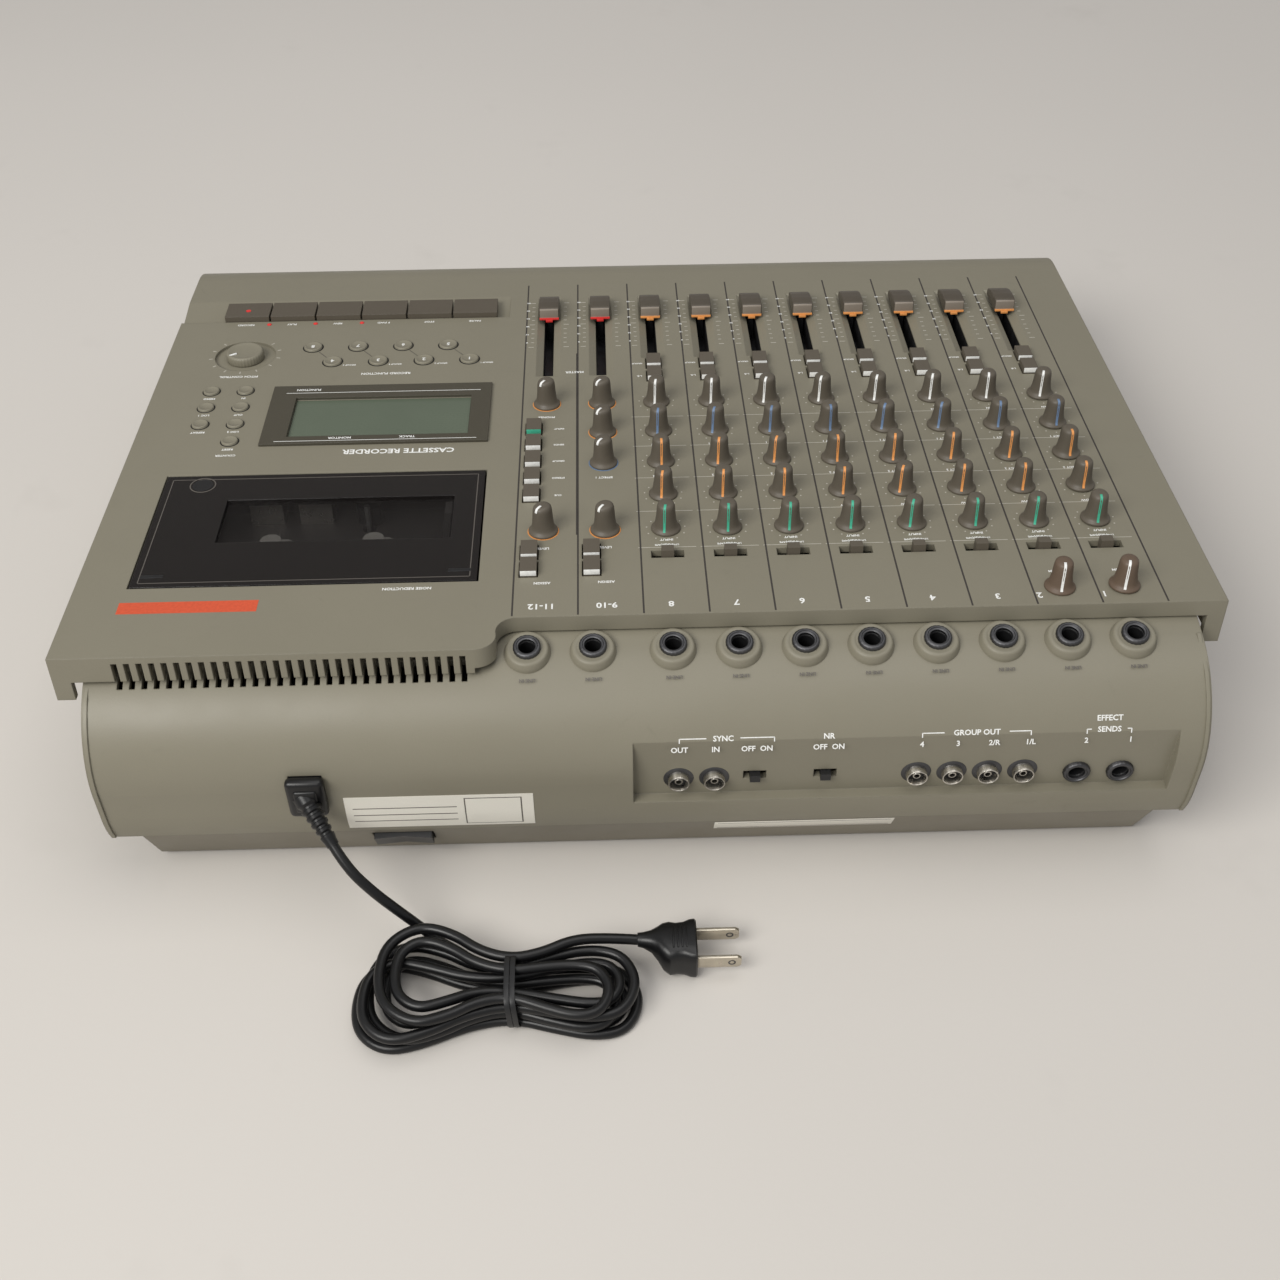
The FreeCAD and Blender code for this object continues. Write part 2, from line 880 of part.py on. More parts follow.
for x in phono_x:
    hole = stub(s.phono_well, ZERO, ZERO, -s.wall - s.spare, s.spare)
    rear_holes.append(facing_rear(group("hole", [hole]), x, s.phono_z))
    rings.append(stub(s.phono_ring, x, ZERO, -s.wall - s.spare, s.phono_reach))
    bores.append(stub(s.phono_bore, x, ZERO, -s.wall, s.phono_reach + s.spare))
for k, bank in enumerate((phono_x[:2], phono_x[2:])):
    rings.append(
        box(
            (bank[-1] - s.jack_body, bank[0] + s.jack_body),
            (-s.jack_body, s.jack_body),
            (-s.wall - s.phono_depth, -s.wall),
        )
    )
switch_x = [-s.switch_first - s.switch_pitch * k for k in range(2)]
for x in switch_x:
    rear_holes.append(
        facing_rear(
            group(
                "slot",
                [
                    box(
                        (-s.slide_width / 2, s.slide_width / 2),
                        (-s.slide_height / 2, s.slide_height / 2),
                        (-s.wall - s.spare, s.spare),
                    )
                ],
            ),
            x,
            s.rear_switch_z,
        )
    )
for x in vents:
    rear_holes.append(
        box(
            (x - s.vent_width / 2, x + s.vent_width / 2),
            (split_y + s.spare, edge_y + s.vent_drop),
            (s.split_top, s.edge_height),
        )
    )
rear_holes.append(
    box(
        (s.pocket_right, s.pocket_left),
        (pocket_y, rear_y + s.spare),
        (s.pocket_bottom, pocket_top + s.spare),
    )
)
grip_half = s.grip_width / 2 - s.spare
grip_rise = s.grip_height / 2 - s.spare
rear_holes.append(
    box(
        (s.grip_x - grip_half, s.grip_x + grip_half),
        (rear_y - s.wall - s.spare, rear_y + s.spare),
        (s.grip_z - grip_rise, s.grip_z + grip_rise),
    )
)
node(cut("rear_panel", fuse("rear_full", [rear_shell, backing] + collars), rear_holes), "rear_panel")
node(group("phone_jacks", sockets), "phone_jacks")
phono = cut("phono_jacks", fuse("phono_solid", rings), bores)
node(facing_rear(phono, ZERO, s.phono_z), "phono_jacks")

# Bottom case: the rest of the body with a narrower plinth, posts and screws
plinth_half = body_half - s.plinth_step
plinth_front = body_front + s.plinth_step
plinth_rear = rear_y - s.plinth_lean


def plinth(label, inset, floor):
    lean = (low_y - plinth_rear) / (s.ledge - s.foot_height)
    top = s.ledge + inset * 2
    return prism(
        label,
        "YZ_Plane",
        (
            (plinth_front + inset, floor),
            (plinth_rear - inset + lean * (floor - s.foot_height), floor),
            (low_y - inset, top),
            (plinth_front + inset, top),
        ),
        inset - plinth_half,
        plinth_half - inset,
    )


post_x = body_half - s.wall - s.post_radius + s.spare
post_v = [-s.post_rear, -s.post_mid, -s.post_front]
post_places = [(side, world(v, ZERO)[0]) for v in post_v for side in (post_x, -post_x)]
posts = common(
    "posts",
    [
        group("post_stock", [stub(s.post_radius, x, y, s.ledge, s.edge_height) for x, y in post_places]),
        on_panel(group("post_limit", [box((-half, half), (-reach, s.deck_reach), (-s.edge_height, -s.wall))])),
    ],
)
lower_shell = cut("lower_shell", body_shell, [rear_region])
lower_full = fuse(
    "lower_full",
    [lower_shell, plinth("plinth_outer", no_inset, s.foot_height), posts],
)
rocker_rise = (s.rocker_z - s.foot_height) / (s.ledge - s.foot_height)
rocker_y = plinth_rear + (low_y - plinth_rear) * rocker_rise
plinth_drop = s.ledge - s.foot_height
rocker_tip = Size(
    "(90 + atan(%s / %s) / 1deg)" % ((low_y - plinth_rear).text, plinth_drop.text),
    90 + math.degrees(math.atan((low_y - plinth_rear).value / plinth_drop.value)),
)


def on_plinth(thing):
    """Turns an upright piece to stand out of the plinth's leaning rear wall."""
    move(thing, s.rocker_x, rocker_y, s.rocker_z)
    return turn(thing, V(-1, 0, 0), rocker_tip)


rocker_gap = s.door_gap
rocker_hole = box(
    (-s.rocker_width / 2 - rocker_gap, s.rocker_width / 2 + rocker_gap),
    (-s.rocker_height / 2 - rocker_gap, s.rocker_height / 2 + rocker_gap),
    (-s.wall * 2, s.wall),
)
lower_cuts = [
    plinth("plinth_inner", s.wall, s.foot_height + s.wall),
    on_plinth(group("rocker_hole", [rocker_hole])),
]
trough_room = box(
    (body_half - s.wall - s.spare, body_half + s.spare),
    (-s.trough_front - s.wall - s.spare, s.wall + s.spare - s.trough_rear),
    (-s.trough_depth - s.wall - s.cover_gap, ZERO),
)
lower_cuts.append(on_panel(group("trough_room", [trough_room])))
lower_cuts += [
    stub(s.screw_radius, x, y, s.ledge - s.spare, s.ledge + s.screw_length) for x, y in post_places
]
node(cut("bottom_case", lower_full, lower_cuts), "bottom_case")
screws = []
for x, y in post_places:
    screws.append(
        fuse(
            "screw",
            [
                stub(s.screw_radius, x, y, s.ledge - s.spare, s.ledge + s.screw_length),
                stub(s.screw_head, x, y, s.ledge - s.spare * 2, s.ledge),
            ],
        )
    )
node(group("case_screws", screws), "case_screws")
feet = [
    stub(s.foot_radius, x, y, no_inset, s.foot_height)
    for x in (s.foot_side - plinth_half, plinth_half - s.foot_side)
    for y in (plinth_front + s.foot_end, plinth_rear - s.foot_end)
]
node(group("rubber_feet", feet), "rubber_feet")
rocker = prism(
    "rocker_form",
    "XZ_Plane",
    (
        (-s.rocker_width / 2, -s.wall - s.spare),
        (s.rocker_width / 2, -s.wall - s.spare),
        (s.rocker_width / 2, s.rocker_rise),
        (ZERO, s.rocker_crown),
        (-s.rocker_width / 2, s.rocker_rise),
    ),
    -s.rocker_height / 2,
    s.rocker_height / 2,
)
node(on_plinth(group("power_rocker", [rocker])), "power_rocker")
core = (
    ((half - s.core_side) - s.core_width / 2, (half - s.core_side) + s.core_width / 2),
    (s.core_y - s.core_depth / 2, s.core_y + s.core_depth / 2),
)
core_floor = s.foot_height + s.wall
core_mid = core_floor + s.core_height / 2
transformer = fuse(
    "transformer",
    [
        box(core[0], core[1], (core_floor, core_floor + s.core_height)),
        box(
            ((half - s.core_side) - s.coil_width / 2, (half - s.core_side) + s.coil_width / 2),
            (core[1][0] - s.coil_over, core[1][1] + s.coil_over),
            (core_mid - s.coil_width / 2, core_mid + s.coil_width / 2),
        ),
    ],
)
node(transformer, "transformer")

# Mixer board with its faders and knob controls, hung from the panel
board_top = s.board_thick - s.board_depth
board = box(
    (columns[-1] - s.pot_size, s.notch_in + s.board_margin / 2),
    (-s.well_front - s.board_margin, -s.board_margin),
    (-s.board_depth, board_top),
)
node(on_panel(group("mixer_board", [board])), "mixer_board")
bodies = []
grooves = []
for name, x, travel in faders:
    well_end = travel + s.cap_length - s.well_front
    bodies.append(
        box(
            (x - s.fader_width / 2, x + s.fader_width / 2),
            (-s.well_front - s.spare, well_end - s.spare * 2),
            (board_top, -s.wall),
        )
    )
    grooves.append(
        box(
            (x - s.well_bottom / 2, x + s.well_bottom / 2),
            (s.wall - s.well_front, well_end - s.wall - s.spare),
            (board_top + s.wall, ZERO),
        )
    )
fader_bodies = cut("fader_bodies", group("fader_blocks", bodies), grooves)
node(on_panel(fader_bodies), "fader_bodies")
pots = [
    box(
        (x - s.pot_size / 2, x + s.pot_size / 2),
        (v - s.pot_size / 2, v + s.pot_size / 2),
        (board_top, board_top + s.pot_depth),
    )
    for x, v in standing + [(x, v) for name, x, v in turning]
]
node(on_panel(group("potentiometers", pots)), "potentiometers")

# Fader caps
for name, x, travel in faders:
    front = s.cap_rest - s.well_front
    cap = prism(
        name + "_cap",
        "YZ_Plane",
        (
            (front, s.cap_lift),
            (front + s.cap_length, s.cap_lift),
            (front + s.cap_length, s.cap_crown),
            (front + s.cap_length - s.cap_bevel, s.cap_height),
            (front + s.cap_length / 2, s.cap_height),
            (front + s.cap_length / 2 - s.spare, s.cap_crown),
            (front + s.cap_bevel, s.cap_front),
        ),
        x - s.cap_width / 2,
        x + s.cap_width / 2,
    )
    mid = front + s.cap_length / 2
    stem = box(
        (x - s.stem_width / 2, x + s.stem_width / 2),
        (mid - s.stem_length / 2, mid + s.stem_length / 2),
        (board_top + s.wall + s.spare, s.cap_crown),
    )
    node(on_panel(fuse(name, [cap, stem])), name)


# Rotary knobs
bell = ((s.knob_waist, s.knob_flare), (s.knob_top, s.knob_height))
shaft_end = board_top + s.pot_depth + s.tiny


knobs = [turned(x, v, ((s.knob_radius, no_inset),) + bell) for x, v in standing]
node(on_panel(group("rotary_knobs", knobs)), "rotary_knobs")
for name, x, v in turning:
    shaft = stub(s.shaft_radius, x, v, shaft_end, s.knob_lift)
    body = turned(x, v, ((s.knob_radius, s.knob_lift),) + bell)
    node(on_panel(fuse(name, [shaft, body])), name)
pitch_low = s.knob_lift - s.dish_depth
pitch_parts = [
    stub(s.shaft_radius, s.pitch_knob_x, -s.pitch_knob_v, shaft_end, pitch_low),
    stub(s.pitch_radius, s.pitch_knob_x, -s.pitch_knob_v, pitch_low, s.pitch_height),
]
node(on_panel(fuse("pitch_knob", pitch_parts)), "pitch_knob")


# Push buttons and selectors
for name, places in push_banks:
    buttons = [push(x, v, no_inset, -s.push_stem, s.push_height) for x, v in places]
    node(on_panel(group(name, buttons)), name)
selectors = [
    box(
        (x - s.select_knob / 2, x + s.select_knob / 2),
        (s.push_gap - s.select_row - s.select_width / 2, s.select_width / 2 - s.select_row - s.push_gap),
        (-s.wall - s.spare, s.select_height),
    )
    for x in columns
]
node(on_panel(group("input_select_switches", selectors)), "input_select_switches")
record_places = [(s.record_x - s.record_pitch * k, -s.record_row) for k in range(4)]
record_places += [(x - s.record_shift, -s.record_lower) for x, v in record_places]
record = [stub(s.record_radius, x, v, no_inset, s.record_height) for x, v in record_places]
node(on_panel(group("record_buttons", record)), "record_buttons")
memory_places = [
    (s.memory_x - s.memory_pitch_x * side, s.memory_pitch * k - s.memory_row)
    for side in range(2)
    for k in range(3)
]
memory_places.append((s.memory_x - s.memory_pitch_x, s.memory_pitch * 3 - s.memory_row))
memory = [stub(s.memory_radius, x, v, no_inset, s.record_height) for x, v in memory_places]
node(on_panel(group("memory_buttons", memory)), "memory_buttons")

# Transport keys over their switch board
trough_slope = s.trough_depth / (s.trough_front - s.trough_rear - s.trough_lean)
for name, x, v in key_centres:
    rear = v + s.key_length / 2
    front = v - s.key_length / 2
    key_lift = s.key_travel + s.tiny
    cap = prism(
        name + "_cap",
        "YZ_Plane",
        (
            (front, key_lift - trough_slope * (front + s.trough_front)),
            (rear, key_lift - trough_slope * (rear + s.trough_front) + s.tiny),
            (rear, s.key_top),
            (front, s.key_top + s.tiny),
        ),
        x - (s.key_pitch - s.key_gap) / 2,
        x + (s.key_pitch - s.key_gap) / 2,
    )
    stem = box(
        (x - s.key_stem_width / 2, x + s.key_stem_width / 2),
        (v - s.key_stem_length / 2, v + s.key_stem_length / 2),
        (-s.key_stem_depth, s.key_top - s.spare),
    )
    node(on_panel(fuse("key_" + name, [cap, stem])), "key_" + name)
switch_top = -s.key_stem_depth - s.key_travel - s.tiny
key_board_top = switch_top - s.wall
last_x = key_centres[-1][1]
key_v = key_centres[0][2]
key_board = [
    box(
        (last_x - s.key_pitch / 2, key_centres[0][1] + s.key_pitch / 2),
        (key_v - s.key_switch, key_v + s.key_switch),
        (key_board_top - s.board_thick, key_board_top),
    )
]
for name, x, v in key_centres:
    key_board.append(
        box(
            (x - s.key_switch / 2, x + s.key_switch / 2),
            (v - s.key_switch / 2, v + s.key_switch / 2),
            (key_board_top, switch_top),
        )
    )
for x in (key_centres[0][1], last_x):
    stand = x + s.key_pitch / 2 - s.wall
    key_board.append(
        box(
            (stand - s.wall, stand),
            (key_v - s.key_switch, key_v + s.key_switch),
            (key_board_top, -s.trough_depth - s.wall),
        )
    )
node(on_panel(fuse("key_board", key_board)), "key_board")

# Display in its window with a bezel on the panel
bezel = cut(
    "display_bezel",
    box((s.bezel_left, s.bezel_right), (-s.bezel_front, -s.bezel_rear), (ZERO, s.bezel_thick)),
    [box((s.glass_left, s.glass_right), (-s.glass_front, -s.glass_rear), (-s.spare, s.bezel_thick + s.spare))],
)
node(on_panel(bezel), "display_bezel")
display = fuse(
    "display_module",
    [
        box(
            (s.glass_left - s.wall, s.glass_right + s.wall),
            (-s.glass_front - s.wall, s.wall - s.glass_rear),
            (-s.display_depth, -s.wall),
        ),
        box(
            (s.glass_left + s.tiny, s.glass_right - s.tiny),
            (s.tiny - s.glass_front, -s.tiny - s.glass_rear),
            (-s.wall, -s.tiny),
        ),
    ],
)
node(on_panel(display), "display_module")

# Cassette door with its window
door = cut(
    "cassette_door",
    box((s.door_left, s.door_right), (-s.door_front, -s.door_rear), (-s.wall, ZERO)),
    [
        box(
            (s.window_left, s.window_right),
            (-s.window_front, -s.window_rear),
            (-s.wall - s.spare, s.spare),
        )
    ],
)
node(on_panel(door), "cassette_door")
window = box(
    (s.window_left, s.window_right),
    (-s.window_front, -s.window_rear),
    (-s.wall, -s.window_sink),
)
node(on_panel(group("door_window", [window])), "door_window")

# Tape well with its floor plate, reels, capstan, pinch roller, heads and motor
tape = (
    (s.tape_centre - s.tape_width / 2, s.tape_centre + s.tape_width / 2),
    (-s.tape_front, -s.tape_rear),
)
floor_top = s.wall - s.tape_depth
reel_x = (s.tape_centre + s.reel_pitch / 2, s.tape_centre - s.reel_pitch / 2)
capstan_x = s.tape_centre - s.capstan_offset
capstan_v = -s.tape_row - s.capstan_row
roller_v = capstan_v - s.spindle_radius - s.roller_radius - s.tiny
well = cut(
    "cassette_well",
    fuse(
        "well_block",
        [
            box(tape[0], tape[1], (-s.tape_depth, -s.wall)),
            box((tape[0][0], half - s.motor_side + s.motor_radius), tape[1], (-s.tape_depth, floor_top)),
        ],
    ),
    [
        box(
            (tape[0][0] + s.wall, tape[0][1] - s.wall),
            (tape[1][0] + s.wall, tape[1][1] - s.wall),
            (floor_top, ZERO),
        )
    ]
    + [stub(s.shaft_radius, x, -s.tape_row, -s.tape_depth - s.spare, ZERO) for x in reel_x]
    + [stub(s.shaft_radius, capstan_x, capstan_v, -s.tape_depth - s.spare, ZERO)],
)
node(on_panel(well), "cassette_well")
for name, x in zip(("supply_reel", "takeup_reel"), reel_x):
    splines = [
        box(
            (x - s.reel_radius - s.spare, x + s.reel_radius + s.spare),
            (-s.tape_row - s.spare / 2, s.spare / 2 - s.tape_row),
            (floor_top + s.tiny, floor_top + s.reel_height - s.wall),
        )
    ]
    reel = [
        stub(s.table_radius, x, -s.tape_row, floor_top + s.tiny, floor_top + s.table_thick),
        stub(s.reel_radius, x, -s.tape_row, floor_top + s.tiny, floor_top + s.reel_height),
        stub(s.shaft_radius - s.tiny, x, -s.tape_row, -s.tape_depth - s.wall, floor_top + s.spare),
    ]
    node(on_panel(fuse(name, reel + splines)), name)
capstan = [
    stub(s.spindle_radius, capstan_x, capstan_v, -s.tape_depth - s.spare, floor_top + s.reel_height),
    stub(
        s.flywheel_radius,
        capstan_x,
        capstan_v,
        -s.tape_depth - s.tiny - s.flywheel_thick,
        -s.tape_depth - s.tiny,
    ),
]
node(on_panel(fuse("capstan_flywheel", capstan)), "capstan_flywheel")
roller = stub(s.roller_radius, capstan_x, roller_v, floor_top + s.tiny, floor_top + s.roller_height)
node(on_panel(group("pinch_roller", [roller])), "pinch_roller")
heads = [
    box(
        (x - s.head_width / 2, x + s.head_width / 2),
        (tape[1][0] + s.wall, tape[1][0] + s.wall + s.head_length),
        (floor_top, floor_top + s.head_height),
    )
    for x in (s.tape_centre + s.head_width / 2, s.tape_centre + s.head_width * 2)
]
node(on_panel(group("tape_heads", heads)), "tape_heads")
motor = [
    stub(s.motor_radius, half - s.motor_side, -s.tape_row, -s.tape_depth - s.motor_height, -s.tape_depth),
]
node(on_panel(group("deck_motor", motor)), "deck_motor")

# Rear slide switches
slides = [
    box(
        (x - s.slide_knob / 2, x + s.slide_knob / 2),
        (s.push_gap - s.slide_height / 2, s.slide_height / 2 - s.push_gap),
        (-s.wall - s.spare, s.phono_reach - s.spare),
    )
    for x in switch_x
]
node(facing_rear(group("rear_slide_switches", slides), ZERO, s.rear_switch_z), "rear_slide_switches")

# Cord grip with its boot
boot = turned(ZERO, ZERO, ((s.boot_radius, no_inset), (s.cord_radius, s.boot_length)))
swing = math.radians(s.boot_swing.value)
lean = math.radians(s.boot_lean.value)
exit_way = V(
    -math.sin(swing) * math.cos(lean), math.cos(swing) * math.cos(lean), -math.sin(lean)
)
move(boot, s.grip_x, rear_y + s.grip_reach, s.grip_z)
boot.Placement.Rotation = FreeCAD.Rotation(V(-math.cos(swing), -math.sin(swing), 0), 1)
bind(boot, "Placement.Rotation.Angle", as_size(90) + s.boot_lean)
grip = fuse(
    "strain_relief",
    [
        box(
            (s.grip_x - s.grip_width / 2, s.grip_x + s.grip_width / 2),
            (rear_y, rear_y + s.grip_reach),
            (s.grip_z - s.grip_height / 2, s.grip_z + s.grip_height / 2),
        ),
        box(
            (s.grip_x - grip_half, s.grip_x + grip_half),
            (rear_y - s.wall, rear_y),
            (s.grip_z - grip_rise, s.grip_z + grip_rise),
        ),
        boot,
    ],
)
node(grip, "strain_relief")

# Cord: a free stretch down to the floor, then a hank
thick = s.cord_radius.value
level = V(0, 0, 1)


def unit(way):
    return V(way).normalize()


def tube(label, edges, way):
    """A faceted tube along tangent edges; its volume is set against section times length."""
    start = edges[0].valueAt(edges[0].FirstParameter)
    side = unit(way.cross(level))
    rise = side.cross(way)
    count = int(s.cord_facets.value)
    ring = []
    for k in range(count + 1):
        angle = math.tau * k / count
        ring.append(start + (side * math.sin(angle) + rise * math.cos(angle)) * thick)
    profile = Part.makePolygon(ring)
    path = Part.Wire(edges)
    form = doc.addObject("Part::Feature", label)
    form.Shape = path.makePipeShell([profile], True, False)
    plain = Part.Face(profile).Area * path.Length
    print("%s: length %.1f, volume %.1f, section times length %.1f" % (
        label, path.Length, form.Shape.Volume, plain
    ))
    return form


def route_edges(route):
    """Straight runs joined by arcs, each as large as its runs allow."""
    edges = []
    last = route[0]
    for before, at, after in zip(route, route[1:], route[2:]):
        back = before - at
        ahead = after - at
        half_turn = (math.pi - back.getAngle(ahead)) / 2
        set_back = s.arc_share.value * min(back.Length, ahead.Length)
        bend = set_back / math.tan(half_turn)
        start = at + unit(back) * set_back
        end = at + unit(ahead) * set_back
        mid = at + unit(unit(back) + unit(ahead)) * (bend / math.cos(half_turn) - bend)
        edges.append(Part.LineSegment(last, start).toShape())
        edges.append(Part.Arc(start, mid, end).toShape())
        last = end
        print("cord bend of radius %.1f, %.1f diameters" % (bend, bend / thick / 2))
    edges.append(Part.LineSegment(last, route[-1]).toShape())
    return edges


boot_end = V(s.grip_x.value, (rear_y + s.grip_reach).value, s.grip_z.value)
boot_end = boot_end + exit_way * s.boot_length.value
near_route = [
    boot_end,
    boot_end + exit_way * 10,
    V(107.8, 211, 29.6),
    V(98.9, 213, 19.6),
    V(91.5, 214, 10.5),
    V(84.5, 217.3, 5),
    V(76.5, 221.4, 3.4),
    V(68, 227.8, 2.1),
    V(62, 233.6, 2.1),
]
neck_end = V(s.neck_length.value, s.neck_y.value, s.neck_z.value)
far_route = [V(43, 231.4, 16.2), V(32, 226, 16.2), V(19, s.neck_y.value, 14.4), neck_end]
stretches = [tube("stretch", route_edges(near_route), exit_way)]
stretches.append(tube("stretch", route_edges(far_route), unit(far_route[1] - far_route[0])))
node(group("power_cord", stretches), "power_cord")

# Hank of the rest of the cord: the outer form of its loops
long = s.hank_half + s.cord_radius
far = s.lobe_far + s.cord_radius
near = s.lobe_near + s.cord_radius
wide = s.lobe_wide + s.cord_radius
pinch = s.waist_half + s.cord_radius
bow = s.hank_round
hank = prism(
    "hank_form",
    "XY_Plane",
    (
        (s.hank_x + s.waist_x - bow, s.hank_y + pinch),
        (s.hank_x - long + near + bow / 2, s.hank_y + wide),
        (s.hank_x - long + near, s.hank_y + wide, near),
        (s.hank_x - long, s.hank_y + s.spare),
        (s.hank_x - long, s.hank_y - s.spare, near),
        (s.hank_x - long + near, s.hank_y - near),
        (s.hank_x - long + near + bow / 2, s.hank_y - near),
        (s.hank_x + s.waist_x - bow, s.hank_y - pinch),
        (s.hank_x + s.waist_x + bow, s.hank_y - pinch),
        (s.hank_x + long - far - bow / 2, s.hank_y - far),
        (s.hank_x + long - far, s.hank_y - far, far),
        (s.hank_x + long, s.hank_y, far),
        (s.hank_x + long - far, s.hank_y + far),
        (s.hank_x + long - far - bow / 2, s.hank_y + far),
        (s.hank_x + s.waist_x + bow, s.hank_y + pinch),
    ),
    ZERO,
    s.hank_height,
)
node(group("cord_hank", [hank]), "cord_hank")

# Band round the waist of the hank
tie_x = s.hank_x + s.waist_x
tie_inner = s.waist_half + s.cord_radius + s.tie_room
tie_high = s.hank_height + s.tie_room / 2
band = box(
    (tie_x - s.tie_half, tie_x + s.tie_half),
    (s.hank_y - tie_inner - s.tie_thick, s.hank_y + tie_inner + s.tie_thick),
    (ZERO, tie_high + s.tie_thick),
)
opening = box(
    (tie_x - s.tie_half - s.spare, tie_x + s.tie_half + s.spare),
    (s.hank_y - tie_inner, s.hank_y + tie_inner),
    (-s.spare, tie_high),
)
node(cut("cord_tie", band, [opening]), "cord_tie")

# Moulded plug with two flat blades
neck = turned(ZERO, ZERO, ((s.neck_radius, no_inset - s.spare), (s.cord_radius + s.spare, s.neck_length)))
move(neck, ZERO, s.neck_y, s.neck_z)
neck.Placement.Rotation = FreeCAD.Rotation(V(0, 1, 0), 90)
shell = box(
    (-s.plug_length, ZERO),
    (s.plug_y - s.plug_half, s.plug_y + s.plug_half),
    (ZERO, s.plug_height),
)
node(fuse("plug_body", [shell, neck]), "plug_body")
blades = [
    box(
        (-s.plug_length - s.blade_length, -s.plug_length),
        (y - s.blade_thick / 2, y + s.blade_thick / 2),
        (
            s.plug_height / 2 - s.blade_width / 2,
            s.plug_height / 2 + s.blade_width / 2,
        ),
    )
    for y in (s.plug_y - s.blade_pitch / 2, s.plug_y + s.blade_pitch / 2)
]
node(group("plug_blades", blades), "plug_blades")

doc.recompute()
for thing in doc.Objects:
    wrong = {"Invalid", "Error"} & set(thing.State)
    if wrong:
        raise RuntimeError("%s: %s" % (thing.Label, thing.State))
for thing in nodes:
    shape = thing.Shape
    if shape.isNull() or not shape.isValid():
        raise RuntimeError(thing.Label + ": bad shape")
for thing in nodes:
    thing.Shape.exportStep("parts/%s.step" % thing.Label)
    bounds = thing.Shape.BoundBox
    print(
        "%-24s %9.1f mm3  x %7.1f %7.1f  y %7.1f %7.1f  z %6.1f %6.1f"
        % (
            thing.Label,
            thing.Shape.Volume,
            bounds.XMin,
            bounds.XMax,
            bounds.YMin,
            bounds.YMax,
            bounds.ZMin,
            bounds.ZMax,
        )
    )
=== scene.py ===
import math
import random

import bmesh
import bpy
from mathutils import Matrix, Vector


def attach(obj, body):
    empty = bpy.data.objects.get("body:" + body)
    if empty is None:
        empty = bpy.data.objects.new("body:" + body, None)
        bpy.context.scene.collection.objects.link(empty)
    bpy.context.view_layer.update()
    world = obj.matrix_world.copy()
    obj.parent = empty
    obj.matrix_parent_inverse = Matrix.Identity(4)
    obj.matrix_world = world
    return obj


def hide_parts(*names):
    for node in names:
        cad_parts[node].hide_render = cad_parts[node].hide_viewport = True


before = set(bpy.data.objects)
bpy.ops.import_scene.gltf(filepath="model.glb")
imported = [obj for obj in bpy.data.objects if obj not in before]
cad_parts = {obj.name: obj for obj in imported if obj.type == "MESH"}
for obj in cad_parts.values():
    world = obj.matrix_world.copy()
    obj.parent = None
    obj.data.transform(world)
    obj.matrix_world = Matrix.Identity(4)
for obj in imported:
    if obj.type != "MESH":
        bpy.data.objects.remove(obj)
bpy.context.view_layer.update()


MM = 0.001
SEED = 11
random.seed(SEED)

# Camera at the photograph's place and angle
PITCH, YAW, ROLL = math.radians(44.94), math.radians(-1.62), math.radians(-0.21)
CAMERA_AT = Vector((0.0155, 0.5802, 0.5315))
turn_yaw = Matrix.Rotation(YAW, 3, "Z")
ahead = turn_yaw @ Vector((0, -math.cos(PITCH), -math.sin(PITCH)))
above = turn_yaw @ Vector((0, -math.sin(PITCH), math.cos(PITCH)))
right = turn_yaw @ Vector((-1, 0, 0))
right, above = (
    math.cos(ROLL) * right + math.sin(ROLL) * above,
    -math.sin(ROLL) * right + math.cos(ROLL) * above,
)
camera_data = bpy.data.cameras.new("camera")
camera_data.lens = 45
camera_data.sensor_width = 36
camera_data.clip_start = 0.01
camera = bpy.data.objects.new("camera", camera_data)
turned = Matrix((right, above, -ahead)).transposed().to_4x4()
camera.matrix_world = Matrix.Translation(CAMERA_AT) @ turned
bpy.context.scene.collection.objects.link(camera)
bpy.context.scene.camera = camera
bpy.context.scene.view_settings.view_transform = "Standard"


# Materials
def srgb(red, green, blue):
    """Linear colour from the 0 to 255 values that it shows as."""
    out = []
    for one in (red, green, blue):
        one /= 255
        out.append(one / 12.92 if one <= 0.04045 else ((one + 0.055) / 1.055) ** 2.4)
    return out + [1]


